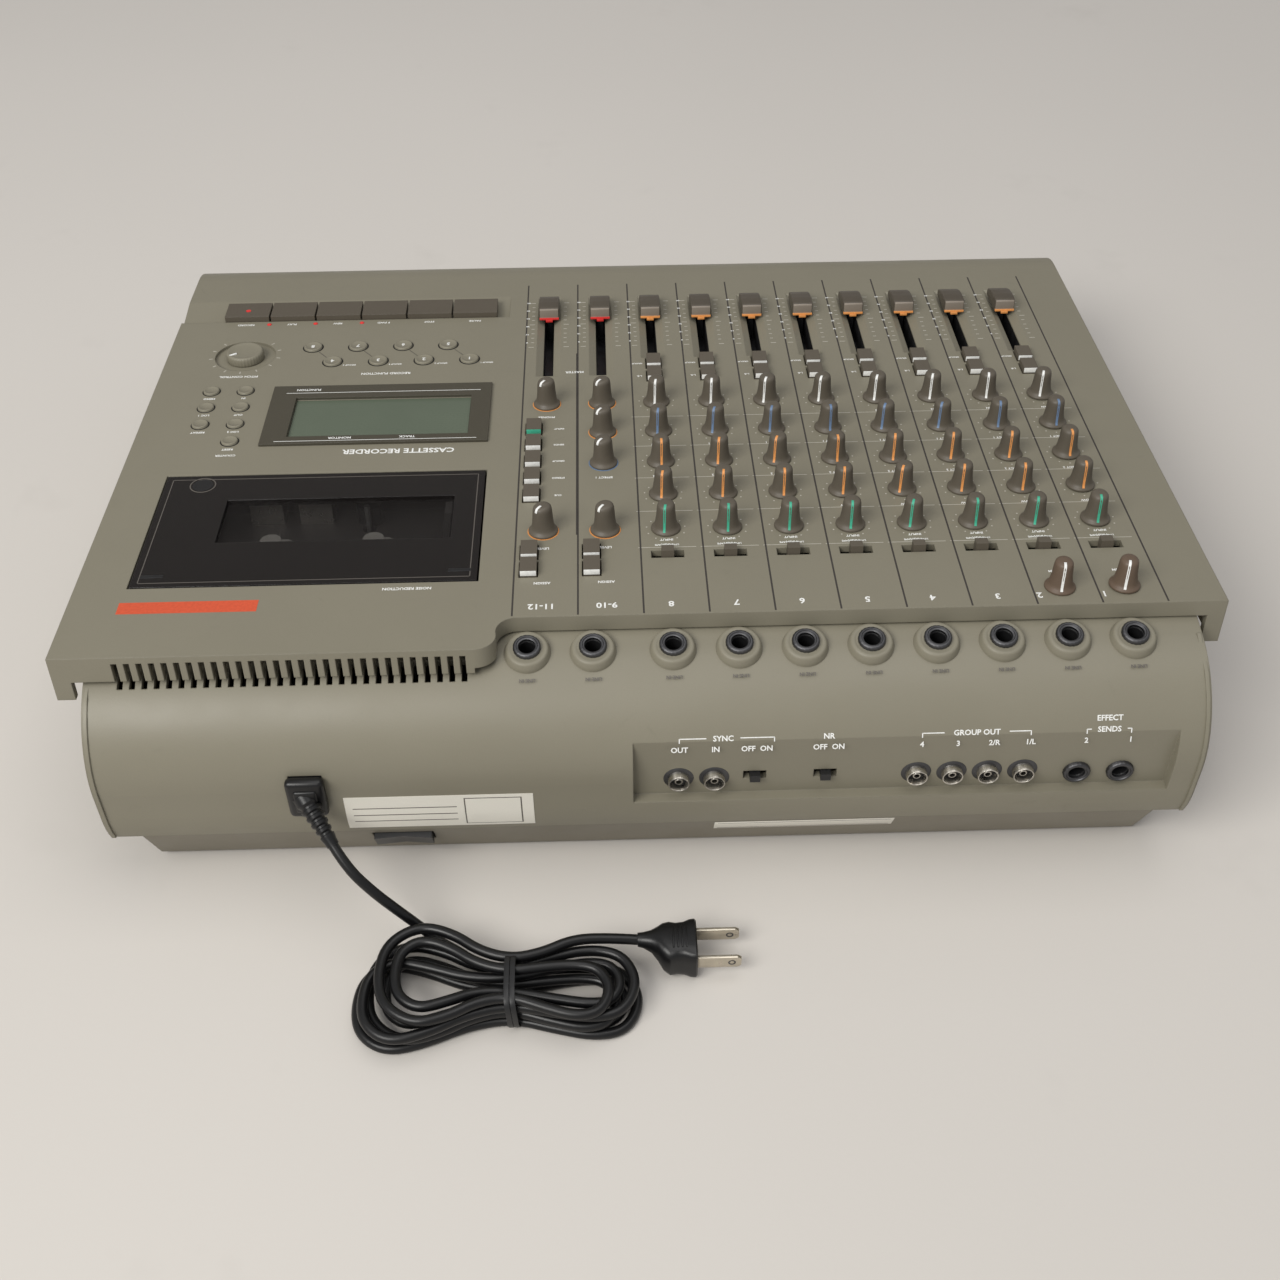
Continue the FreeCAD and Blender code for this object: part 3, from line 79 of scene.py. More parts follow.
class Nodes:
    """Short names for building a material's nodes."""

    def __init__(self, name):
        self.material = bpy.data.materials.new(name)
        self.material.use_nodes = True
        self.tree = self.material.node_tree
        self.shader = self.tree.nodes["Principled BSDF"]
        self.place = self.add("ShaderNodeTexCoord").outputs["Object"]

    def add(self, kind, **settings):
        one = self.tree.nodes.new(kind)
        for key, value in settings.items():
            if key.startswith("in_"):
                one.inputs[key[3:].replace("_", " ")].default_value = value
            else:
                setattr(one, key, value)
        return one

    def link(self, out, into):
        self.tree.links.new(out, into)

    def noise(self, scale, detail=2, rough=0.5, distortion=0):
        one = self.add("ShaderNodeTexNoise", in_Scale=scale, in_Detail=detail, in_Roughness=rough)
        one.inputs["Distortion"].default_value = distortion
        self.link(self.place, one.inputs["Vector"])
        return one.outputs["Fac"]

    def ramp(self, value, low, high, first=(0, 0, 0, 1), last=(1, 1, 1, 1)):
        one = self.add("ShaderNodeValToRGB")
        one.color_ramp.elements[0].position = low
        one.color_ramp.elements[1].position = high
        one.color_ramp.elements[0].color = first
        one.color_ramp.elements[1].color = last
        self.link(value, one.inputs["Fac"])
        return one.outputs["Color"]

    def mix(self, factor, first, second):
        one = self.add("ShaderNodeMix", data_type="RGBA")
        for socket, value in zip((one.inputs[0], one.inputs[6], one.inputs[7]), (factor, first, second)):
            if isinstance(value, (float, int, list, tuple)):
                socket.default_value = value
            else:
                self.link(value, socket)
        return one.outputs[2]

    def bump(self, height, strength, distance, before=None):
        one = self.add("ShaderNodeBump", in_Strength=strength, in_Distance=distance)
        self.link(height, one.inputs["Height"])
        if before is not None:
            self.link(before, one.inputs["Normal"])
        return one.outputs["Normal"]

    def soft_edge(self, radius):
        return self.add("ShaderNodeBevel", samples=4, in_Radius=radius).outputs["Normal"]


def shade(colour, amount):
    return [min(1, c * amount) for c in colour[:3]] + [1]


def grey(value):
    return [value] * 3 + [1]


def plastic(name, colour, rough=0.5, grain=0.12, edge=0.0004, grime=0.1, size=1500):
    """Moulded plastic: fine spark grain, uneven sheen and faint handling marks."""
    n = Nodes(name)
    broad = n.ramp(n.noise(18, 4, 0.6), 0.3, 0.72)
    marks = n.ramp(n.noise(75, 5, 0.7, 1.2), 0.62, 0.8)
    speck = n.ramp(n.noise(2600, 1), 0.25, 0.85)
    base = n.mix(broad, shade(colour, 1 - grime * 0.35), shade(colour, 1 + grime * 0.35))
    base = n.mix(speck, base, shade(colour, 0.96))
    base = n.mix(marks, base, shade(colour, 1 - grime))
    n.link(base, n.shader.inputs["Base Color"])
    sheen = n.ramp(n.noise(40, 3), 0.3, 0.7, grey(max(0.02, rough - 0.05)), grey(rough + 0.06))
    n.link(sheen, n.shader.inputs["Roughness"])
    normal = n.soft_edge(edge) if edge else None
    n.link(n.bump(n.noise(size, 2), grain, 0.0002, normal), n.shader.inputs["Normal"])
    n.shader.inputs["Specular IOR Level"].default_value = 0.4
    return n.material


def metal(name, colour, rough):
    """Plated or drawn metal with fine scratches and dull patches."""
    n = Nodes(name)
    base = n.mix(n.ramp(n.noise(120, 4), 0.35, 0.7), shade(colour, 0.85), shade(colour, 1.08))
    n.link(base, n.shader.inputs["Base Color"])
    dull = n.ramp(n.noise(260, 3), 0.3, 0.75, grey(rough), grey(rough + 0.18))
    n.link(dull, n.shader.inputs["Roughness"])
    n.link(n.bump(n.noise(3000, 1), 0.1, 0.0001), n.shader.inputs["Normal"])
    n.shader.inputs["Metallic"].default_value = 1
    return n.material


def ink(name, colour):
    """Screen-printed ink with slightly uneven cover."""
    n = Nodes(name)
    base = n.mix(n.ramp(n.noise(900, 2), 0.3, 0.7), shade(colour, 0.9), shade(colour, 1.05))
    n.link(base, n.shader.inputs["Base Color"])
    n.link(n.bump(n.noise(2500, 1), 0.05, 0.0001), n.shader.inputs["Normal"])
    n.shader.inputs["Roughness"].default_value = 0.5
    return n.material


def smoked(name, colour, cover):
    """Tinted see-through plastic with dust and hairline scratches."""
    n = Nodes(name)
    dust = n.ramp(n.noise(500, 6, 0.8), 0.6, 0.9)
    n.link(n.mix(dust, colour, shade(colour, 1.8)), n.shader.inputs["Base Color"])
    film = n.ramp(n.noise(60, 5, 0.7, 2), 0.4, 0.8, grey(0.08), grey(0.22))
    n.link(film, n.shader.inputs["Roughness"])
    n.link(n.bump(n.noise(900, 2), 0.02, 0.0001), n.shader.inputs["Normal"])
    n.shader.inputs["Alpha"].default_value = cover
    return n.material


housing = plastic("housing_plastic", srgb(129, 124, 108), 0.42, 0.16, 0.0006, 0.1)
case = plastic("case_plastic", srgb(124, 118, 104), 0.5, 0.16, 0.0008, 0.12)
taupe = plastic("knob_plastic", srgb(92, 85, 74), 0.46, 0.1, 0, 0.1)
cap_dark = plastic("cap_plastic_dark", srgb(80, 73, 63), 0.42, 0.08, 0.0003, 0.12)
cap_light = plastic("cap_plastic_light", srgb(134, 124, 112), 0.42, 0.08, 0.0003, 0.1)
key_plastic = plastic("key_plastic", srgb(88, 81, 70), 0.44, 0.08, 0.0005, 0.1)
trim_brown = plastic("trim_knob_plastic", srgb(98, 82, 68), 0.46, 0.1, 0, 0.1)
black = plastic("black_plastic", srgb(30, 30, 31), 0.38, 0.08, 0.0003, 0.15)
rubber = plastic("cord_rubber", srgb(15, 15, 16), 0.34, 0.12, 0, 0.2, size=700)
feet_rubber = plastic("feet_rubber", srgb(42, 41, 40), 0.75, 0.3, 0.0004, 0.2)
bezel_plastic = plastic("bezel_plastic", srgb(72, 68, 57), 0.34, 0.06, 0.0004, 0.08)
board_green = plastic("board_resist", srgb(30, 84, 50), 0.35, 0.1, 0, 0.2)
# Near-black for the gaps round the buttons: painted shadow
gap_shadow_paint = plastic("slot_shadow", srgb(26, 25, 24), 0.7, 0.1, 0, 0.2)
nickel = metal("nickel_plate", srgb(196, 192, 184), 0.24)
steel = metal("zinc_steel", srgb(168, 168, 168), 0.38)
dark_metal = metal("dark_plated_metal", srgb(92, 92, 94), 0.4)
brass = metal("blade_plating", srgb(206, 198, 182), 0.25)
white_ink = ink("white_ink", srgb(236, 236, 232))
# Dark ink for print, also used as painted shade in the panel grooves
dark_ink_and_groove_shade = ink("dark_ink_and_groove_shade", srgb(58, 54, 50))
soft_ink = ink("soft_ink", srgb(92, 87, 81))
pale_ink = ink("pale_ink", srgb(190, 186, 174))
blue_ink = ink("blue_ink", srgb(104, 128, 160))
orange_ink = ink("orange_ink", srgb(226, 152, 84))
green_ink = ink("green_ink", srgb(66, 172, 140))
red_ink = ink("red_ink", srgb(214, 52, 48))
badge_ink = ink("badge_ink", srgb(206, 84, 52))
label_film = plastic("label_film", srgb(226, 222, 210), 0.4, 0.04, 0, 0.06)
door_smoke = plastic("door_smoke", srgb(26, 23, 22), 0.14, 0.02, 0.0005, 0.15)
well_plastic = plastic("well_plastic", srgb(58, 55, 53), 0.5, 0.1, 0.0003, 0.15)
reel_plastic = plastic("reel_plastic", srgb(150, 147, 140), 0.35, 0.05, 0.0003, 0.1)
window_smoke = smoked("window_smoke", srgb(34, 31, 30), 0.3)

# Display: a pale green field with faint rows of unlit segments
field_green = srgb(92, 102, 86)
lcd = Nodes("lcd_field")
lcd_rows = lcd.add("ShaderNodeTexBrick", in_Scale=150, in_Mortar_Size=0.03)
lcd.link(lcd.place, lcd_rows.inputs["Vector"])
lcd_base = lcd.mix(lcd.ramp(lcd.noise(14, 3), 0.35, 0.7), shade(field_green, 0.92), shade(field_green, 1.08))
lcd_base = lcd.mix(lcd.ramp(lcd_rows.outputs["Fac"], 0.4, 0.6), lcd_base, shade(field_green, 0.93))
lcd.link(lcd_base, lcd.shader.inputs["Base Color"])
lcd.shader.inputs["Roughness"].default_value = 0.22
lcd.shader.inputs["Coat Weight"].default_value = 0.2

# Places, in millimetres. On the panel x runs to the deck side, v to the rear and w up from it
PANEL = Matrix.Translation((0, 138.5, 104.4)) @ Matrix.Rotation(math.radians(6), 4, "X")
STRIP = 25.4
COLUMNS = [-9.4 - STRIP * k for k in range(8)]
STEREO_X, SUBMIX_X = 15.6, 41
ROWS = [STRIP * k - 158.6 for k in range(5)]
TRIM_V = -11.3
PITCH_X, PITCH_V = 187.5, -210.1
MEMORY_PLACES = [(197.8, -176.2 + 14.8 * k) for k in range(3)] + [(182, -176.2 + 14.8 * k) for k in range(4)]
KEY_NAMES_V = -241.6
# The rear: a vertical face that rolls over to the top on one arc, its recess and the plinth below
FACE_LOW, ARC_Y, ARC_Z, ARC = 42, 142, 55.615, 40
RECESS_Y = 177.5
REAR_JACKS_X = (-166.8, -183.9)
PLINTH_Y, PLINTH_LOW, PLINTH_HIGH, PLINTH_OUT = 167.5, 2.5, 28, 11.97


def on_panel(x, v, w=0, angle=0):
    return PANEL @ Matrix.Translation((x, v, w)) @ Matrix.Rotation(math.radians(angle), 4, "Z")


def on_rear(x, y, z):
    """Local X to the viewer's right behind the machine, Y up, Z out."""
    return Matrix(((-1, 0, 0, x), (0, 0, 1, y), (0, 1, 0, z), (0, 0, 0, 1)))


def along(at, way):
    """Local Z along a direction."""
    return Matrix.Translation(at) @ Vector(way).to_track_quat("Z", "Y").to_matrix().to_4x4()


def on_plinth(x, z):
    """On the leaning wall of the plinth, with local axes as on the rear."""
    high = PLINTH_HIGH - PLINTH_LOW
    lean = Matrix.Rotation(-math.atan2(PLINTH_OUT, high), 4, "X")
    return Matrix.Translation((x, PLINTH_Y + (z - PLINTH_LOW) / high * PLINTH_OUT, z)) @ lean @ on_rear(0, 0, 0)


# Mesh building, in millimetres
def stamp(main, part, place, slot=0):
    """Adds one form to a piece."""
    for face in part.faces:
        face.material_index = slot
    bmesh.ops.recalc_face_normals(part, faces=part.faces)
    part.transform(place)
    mesh = bpy.data.meshes.new("stamp")
    part.to_mesh(mesh)
    part.free()
    main.from_mesh(mesh)
    bpy.data.meshes.remove(mesh)


def lathe(main, profile, place, slot=0, count=32, shape=None, ends=True):
    """Turns a profile of radius and height; shape moves each point in its ring."""
    part = bmesh.new()
    rings = []
    for radius, height in profile:
        if radius == 0:
            rings.append([part.verts.new((0, 0, height))])
            continue
        ring = []
        for k in range(count):
            angle = math.tau * k / count
            point = Vector((radius * math.cos(angle), radius * math.sin(angle), height))
            ring.append(part.verts.new(shape(point, angle) if shape else point))
        rings.append(ring)
    for low, high in zip(rings, rings[1:]):
        for k in range(count):
            m = k + 1
            corners = [low[k % len(low)], low[m % len(low)], high[m % len(high)], high[k % len(high)]]
            corners = list(dict.fromkeys(corners))
            if len(corners) > 2:
                part.faces.new(corners)
    for ring in (rings[0], rings[-1]):
        if ends and len(ring) > 1 and profile[0] != profile[-1]:
            part.faces.new(ring)
    if profile[0] == profile[-1]:
        bmesh.ops.remove_doubles(part, verts=part.verts, dist=0.0001)
    stamp(main, part, place, slot)


def round_edges(part, size, segments=2):
    bmesh.ops.bevel(part, geom=part.edges[:], offset=size, segments=segments, affect="EDGES", profile=0.5)


def block(main, low, high, place, slot=0, bevel=0.0, segments=2):
    """A block between two corners, with rounded edges."""
    part = bmesh.new()
    bmesh.ops.create_cube(part, size=1)
    low, high = Vector(low), Vector(high)
    span = high - low
    for vert in part.verts:
        vert.co = low + Vector([(vert.co[k] + 0.5) * span[k] for k in range(3)])
    if bevel:
        round_edges(part, bevel, segments)
    stamp(main, part, place, slot)


def extrusion(main, corners, low, high, place, slot=0, bevel=0.0):
    """A side view of (depth, height) corners, drawn out across X."""
    part = bmesh.new()
    first = [part.verts.new((low, a, b)) for a, b in corners]
    second = [part.verts.new((high, a, b)) for a, b in corners]
    part.faces.new(first)
    part.faces.new(second[::-1])
    for k in range(len(corners)):
        m = (k + 1) % len(corners)
        part.faces.new((first[k], second[k], second[m], first[m]))
    bmesh.ops.recalc_face_normals(part, faces=part.faces)
    if bevel:
        round_edges(part, bevel)
    stamp(main, part, place, slot)


def letters(main, words, size, place, slot=0):
    """Thin raised print, centred on its place."""
    curve = bpy.data.curves.new("words", "FONT")
    curve.body = words
    curve.size = size
    curve.align_x = "CENTER"
    curve.align_y = "CENTER"
    curve.resolution_u = 2
    curve.extrude = 0.03
    curve.offset = size * 0.022
    word = bpy.data.objects.new("words", curve)
    mesh = bpy.data.meshes.new_from_object(word)
    mesh.transform(place)
    for face in mesh.polygons:
        face.material_index = slot
    main.from_mesh(mesh)
    bpy.data.meshes.remove(mesh)
    bpy.data.objects.remove(word)
    bpy.data.curves.remove(curve)


def piece(name, main, materials, body="housing", nodes=(), sharp=35):
    """Makes the object from a bmesh drawn in millimetres, and lets it ride on a body."""
    bmesh.ops.scale(main, vec=(MM, MM, MM), verts=main.verts)
    mesh = bpy.data.meshes.new(name)
    main.to_mesh(mesh)
    main.free()
    for one in materials:
        mesh.materials.append(one)
    mesh.shade_smooth()
    mesh.set_sharp_from_angle(angle=math.radians(sharp))
    thing = bpy.data.objects.new(name, mesh)
    bpy.context.scene.collection.objects.link(thing)
    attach(thing, body)
    if nodes:
        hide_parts(*nodes)
    return thing


def ridges(inner, count, depth, top=math.inf):
    """A lathe shape: fine ridges on the points outside a radius and below a height."""

    def shape(point, angle):
        outside = point.z < top and Vector((point.x, point.y)).length > inner
        factor = 1 - outside * depth * (0.5 + 0.5 * math.cos(count * angle))
        return Vector((point.x * factor, point.y * factor, point.z))

    return shape


def superellipse(angle, across_power, up_power):
    """Cosine and sine of an angle, squared off by a power."""
    c, s = math.cos(angle), math.sin(angle)
    return math.copysign(abs(c) ** across_power, c), math.copysign(abs(s) ** up_power, s)


# The cord: out of its boot, down to the floor, six loops tied at the waist, and up to the plug
CORD = 4.2
HANK = Vector((62, 244, 0))
LOOP_STEP = 5.5
LAYER_RISE = 4.7
LOBE_SAG = 0.6
EXIT_WAY = Vector((-0.51055, 0.66536, -0.54464))
BOOT_FOOT = Vector((132.5, 186, 55))
BOOT_END = BOOT_FOOT + EXIT_WAY * 20
NEAR = [
    BOOT_END,
    BOOT_END + EXIT_WAY * 10,
    Vector((107.8, 211, 29.6)),
    Vector((98.9, 213, 19.6)),
    Vector((91.5, 214, 10.5)),
    Vector((84.5, 217.3, 5)),
    Vector((76.5, 221.4, 3.4)),
    Vector((68, 227.8, 2.1)),
    Vector((62, 233.6, 2.1)),
]
FAR = [
    Vector((-7, -9.8, 16.6)) + HANK,
    Vector((43, 231.4, 16.2)),
    Vector((32, 226, 16.2)),
    Vector((19, 224.3, 14.4)),
    Vector((6.8, 224.3, 12.6)),
]
# One loop: place beside the hank's middle, way inward, lobe, and share of that lobe's looseness
LOOP = (
    ((-7, -9.8), (0, 1), 0, 0),
    ((-24, -13.5), (0.1, 1), 0, 0.5),
    ((-39, -15.5), (0.15, 1), 0, 0.9),
    ((-51.5, -12), (0.75, 0.75), 0, 1),
    ((-57, 1), (1, 0), 0, 1),
    ((-51.5, 14.5), (0.75, -0.75), 0, 1),
    ((-39, 17.5), (0.15, -1), 0, 0.9),
    ((-24, 14.5), (-0.1, -1), 0, 0.5),
    ((-7, 9.8), (0, -1), 0, 0),
    ((10, 13), (0.1, -1), 1, 0.4),
    ((25, 20), (0.15, -1), 1, 0.8),
    ((41, 23.5), (-0.2, -1), 1, 1),
    ((54, 14.5), (-0.8, -0.65), 1, 1),
    ((57.2, 0), (-1, 0), 1, 1),
    ((54, -15.5), (-0.8, 0.65), 1, 1),
    ((41, -23.5), (-0.2, 1), 1, 1),
    ((25, -19.5), (0.15, 1), 1, 0.8),
    ((10, -12.5), (0.1, 1), 1, 0.4),
)
LAYER_POINTS = len(LOOP) * 3 // 2
LAYERS = 4
# Looseness of each layer's two lobes: shift across, shift along, wider step
LOOSE = (
    ((0, 0, 0), (0, 0, 0.1)),
    ((4, 2.5, 0.35), (-7, -2, 0.25)),
    ((1, -2, 0.1), (-2, 3, 0.5)),
    ((7, 3, 0.25), (-12, -4, 0.15)),
)


def hank_point(n):
    """The n-th control point of the loops."""
    (x, y), inward, lobe, share = LOOP[n % len(LOOP)]
    drawn = (LAYER_POINTS - abs(LAYER_POINTS - n % (LAYER_POINTS * 2))) / len(LOOP)
    layer = n // LAYER_POINTS
    height = layer - 0.5 if n and n % LAYER_POINTS == 0 else layer
    shift_x, shift_y, wider = LOOSE[min(layer, LAYERS - 1)][lobe]
    step = LOOP_STEP * drawn * (1 + wider * share)
    x += inward[0] * step + shift_x * share
    y += inward[1] * step + shift_y * share
    return HANK + Vector((x, y, CORD / 2 + height * LAYER_RISE + LOBE_SAG * (1 - share)))


cord_points = NEAR + [hank_point(n) for n in range(LAYER_POINTS * LAYERS)] + FAR
curve = bpy.data.curves.new("mains_cord", "CURVE")
curve.dimensions = "3D"
curve.bevel_depth = CORD / 2 * MM
curve.bevel_resolution = 5
curve.resolution_u = 6
curve.use_fill_caps = True
spline = curve.splines.new("NURBS")
spline.points.add(len(cord_points) - 1)
for point, place in zip(spline.points, cord_points):
    point.co = (*(place * MM), 1)
spline.order_u = 3
spline.use_endpoint_u = True
curve.materials.append(rubber)
cord = bpy.data.objects.new("mains_cord", curve)
bpy.context.scene.collection.objects.link(cord)
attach(cord, "housing")
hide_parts("power_cord", "cord_hank")

# Boot and grip block
main = bmesh.new()
block(main, (125, 181.5, 45), (140, 186.4, 65), Matrix(), 0, 2.1, 4)
block(main, (128, 185, 49), (137, 187.4, 61), Matrix(), 0, 1.1, 3)
block(main, (126.4, 179.4, 46.4), (138.6, 183, 63.6), Matrix())
ribs = [(4.4, -2.5), (4.4, 1)]
for k in range(5):
    low = 2.2 + k * 3
    wide = 4.1 - k * 0.28
    ribs += [(wide - 0.55, low), (wide - 0.55, low + 0.8), (wide, low + 1.1), (wide - 0.1, low + 2.3)]
ribs += [(2.6, 17.8), (2.45, 20), (2.15, 20), (2.15, -2.5), (4.4, -2.5)]
lathe(main, ribs, along(BOOT_FOOT, EXIT_WAY), 0, 32)
grip = piece("grip_and_boot", main, [rubber], nodes=["strain_relief"])

# Plug: lofted body with finger hollows, and two blades
main = bmesh.new()
part = bmesh.new()
PLUG_SIDES = 40
# Each section: centre, half width, half height and how square it is
PLUG_SECTIONS = (
    (6.8, 224.3, 12.6, 2.7, 2.7, 2),
    (4.5, 224.4, 12.3, 3.1, 3.2, 2),
    (1.5, 224.6, 11.6, 4.2, 4.4, 2.2),
    (-1, 225, 10.4, 6.2, 6.2, 2.6),
    (-3, 225.6, 9.3, 8.4, 7.6, 3),
    (-5.5, 226, 8.6, 9.4, 8.2, 3.4),
    (-8, 226, 8.5, 8.6, 8.3, 3.6),
    (-11, 226, 8.5, 8.7, 8.4, 4),
    (-13.5, 226, 8.5, 9.8, 8.4, 4.4),
    (-15.4, 226, 8.5, 9.9, 8.4, 4.6),
    (-16, 226, 8.5, 9.3, 7.9, 4.6),
)
rings = []
for x, y, z, wide, tall, square in PLUG_SECTIONS:
    ring = []
    for k in range(PLUG_SIDES):
        across, up = superellipse(math.tau * k / PLUG_SIDES, 2 / square, 2 / square)
        ring.append(part.verts.new((x, y + wide * across, z + tall * up)))
    rings.append(ring)
for low, high in zip(rings, rings[1:]):
    for k in range(PLUG_SIDES):
        m = (k + 1) % PLUG_SIDES
        part.faces.new((low[k], low[m], high[m], high[k]))
part.faces.new(rings[0])
part.faces.new(rings[-1])
stamp(main, part, Matrix())
for k in range(4):
    block(main, (-12.4 + k * 1.7, 221, 16.2), (-11.6 + k * 1.7, 231, 17), Matrix(), 0, 0.25)
plug = piece("plug_moulding", main, [rubber], nodes=["plug_body"])
main = bmesh.new()
for y in (219.65, 232.35):
    part = bmesh.new()
    blade = [(-15.5, 5.33), (-15.5, 11.68), (-31.5, 11.68), (-33, 10.6), (-33, 6.4), (-31.5, 5.33)]
    verts = [[part.verts.new((a, y + side, b)) for a, b in blade] for side in (-0.75, 0.75)]
    part.faces.new(verts[0])
    part.faces.new(verts[1][::-1])
    for k in range(len(blade)):
        m = (k + 1) % len(blade)
        part.faces.new((verts[0][k], verts[1][k], verts[1][m], verts[0][m]))
    bmesh.ops.recalc_face_normals(part, faces=part.faces)
    round_edges(part, 0.25)
    stamp(main, part, Matrix(), 0)
    eye = [(0.9, -0.82), (1.5, -0.82), (1.5, 0.82), (0.9, 0.82), (0.9, -0.82)]
    lathe(main, eye, along((-29.3, y, 8.5), (0, 1, 0)), 1, 20)
blades = piece("plug_blade_pair", main, [brass, dark_metal], nodes=["plug_blades"])

# Twist tie: two bands round the waist of the hank
main = bmesh.new()
WAIST = HANK + Vector((-7, 0, 0))
TIE_SIDES = 48
TIE_SECTION = ((-0.2, -1), (0.2, -1), (0.32, 0), (0.2, 1), (-0.2, 1))
for offset in (-1.6, 0.6):
    part = bmesh.new()
    rings = []
    for k in range(TIE_SIDES):
        angle = math.tau * k / TIE_SIDES
        across, up = superellipse(angle, 0.55, 0.6)
        out = Vector((0, math.cos(angle), math.sin(angle)))
        centre = WAIST + Vector((offset + 0.9 * math.sin(angle), 12.6 * across, 9.95 + 9.75 * up))
        rings.append([part.verts.new(centre + out * a + Vector((b, 0, 0))) for a, b in TIE_SECTION])
    for ring, after in zip(rings, rings[1:] + rings[:1]):
        for k in range(len(ring)):
            m = (k + 1) % len(ring)
            part.faces.new((ring[k], ring[m], after[m], after[k]))
    stamp(main, part, Matrix())
tie = piece("twist_tie", main, [black], nodes=["cord_tie"])

# Knobs: profiles of radius and height, and pointers of reach and height
KNOB = (
    (5.85, 0), (6.1, 0.25), (6.1, 0.8), (5.8, 1.15), (5.3, 1.6), (4.9, 2.2), (4.68, 3), (4.56, 4.5), (4.42, 7),
    (4.26, 9.5), (4.1, 11.2), (3.85, 12.1), (3.2, 12.75), (2, 13), (0, 13),
)
LONG_POINTER = (
    (5.45, 1.6), (5.0, 2.2), (4.74, 3.1), (4.6, 5), (4.4, 8), (4.22, 10.4), (3.93, 12.1), (3.24, 12.82),
    (1.6, 13.08),
)
SHORT_POINTER = ((4.16, 11.2), (3.93, 12.1), (3.24, 12.82), (2, 13.05), (0.8, 13.08))
POINTER = [white_ink, blue_ink, orange_ink, orange_ink, green_ink]


def knob_shape(point, angle):
    """Narrow grip with fine flutes above the skirt."""
    rise = min(1, max(0, (point.z - 3) / 3))
    flute = 1 + 0.022 * rise * math.cos(24 * angle)
    return Vector((point.x * flute * (1 - 0.12 * rise), point.y * flute, point.z))


def knob(main, x, v, w, angle, body_slot, line_slot, path=LONG_POINTER):
    """A knob whose pointer runs up the far side and over the crown."""
    place = on_panel(x, v, w, angle)
    lathe(main, KNOB, place, body_slot, 48, knob_shape)
    part = bmesh.new()
    left = [part.verts.new((-0.5, a, b)) for a, b in path]
    right = [part.verts.new((0.5, a, b)) for a, b in path]
    left_in, right_in = [[part.verts.new((side, a - 0.35, b - 0.25)) for a, b in path] for side in (-0.5, 0.5)]
    for k in range(len(path) - 1):
        m = k + 1
        part.faces.new((left[k], left[m], right[m], right[k]))
        part.faces.new((left[k], left_in[k], left_in[m], left[m]))
        part.faces.new((right[k], right[m], right_in[m], right_in[k]))
        part.faces.new((left_in[k], right_in[k], right_in[m], left_in[m]))
    part.faces.new((left[0], right[0], right_in[0], left_in[0]))
    part.faces.new((left[-1], left_in[-1], right_in[-1], right[-1]))
    stamp(main, part, place, line_slot)


def master_knob(main, x, v, ring_slot):
    """A knob with a short tick on its crown and a coloured foot ring."""
    knob(main, x, v, 0, -38, 0, 2, SHORT_POINTER)
    lathe(main, [(5.9, 0), (5.9, 0.1), (6.5, 0.1), (6.5, 0), (5.9, 0)], on_panel(x, v), ring_slot, 48)


def knob_angle():
    return random.uniform(-24, 4)


main = bmesh.new()
KNOB_MATERIALS = [taupe, trim_brown] + POINTER
for x in COLUMNS[:-1]:
    for row, v in enumerate(ROWS):
        knob(main, x, v, 0, knob_angle(), 0, 2 + row)
knob(main, COLUMNS[-2], TRIM_V, 0, -8, 1, 2)
for x, rows in ((STEREO_X, (0, 1, 2, 4)), (SUBMIX_X, (0, 4))):
    for row in rows:
        master_knob(main, x, ROWS[row], 3 if row == 2 else 4)
piece("knob_field", main, KNOB_MATERIALS, nodes=["rotary_knobs"], sharp=50)
turning = [("channel_1_knob_%d" % (k + 1), COLUMNS[-1], v, 0, 2 + k) for k, v in enumerate(ROWS)]
turning.append(("trim_knob", COLUMNS[-1], TRIM_V, 1, 2))
for name, x, v, slot, line in turning:
    main = bmesh.new()
    knob(main, x, v, 0.3, knob_angle(), slot, line)
    lathe(main, [(3, -10.5), (3, 0.6)], on_panel(x, v), 7, 20)
    piece(name + "_cap", main, KNOB_MATERIALS + [dark_metal], name, [name], 50)

# Pitch knob: ribbed skirt, dished top and a pointer
main = bmesh.new()
PITCH_PROFILE = (
    (8.9, -1.2), (9, -1), (9, 1.7), (8.75, 2.5), (8.2, 2.95), (7.6, 3), (7.1, 2.75), (5, 2.45), (0, 2.35),
)
lathe(main, PITCH_PROFILE, on_panel(PITCH_X, PITCH_V), 0, 144, ridges(8, 36, 0.025, 2.6))
lathe(main, [(3, -10.5), (3, -1)], on_panel(PITCH_X, PITCH_V), 2, 20)
block(main, (-0.5, 4.2, 2.3), (0.5, 8, 3.02), on_panel(PITCH_X, PITCH_V, 0, -55), 1, 0.1)
piece("pitch_knob_cap", main, [housing, white_ink, dark_metal], "pitch_knob", ["pitch_knob"], 40)

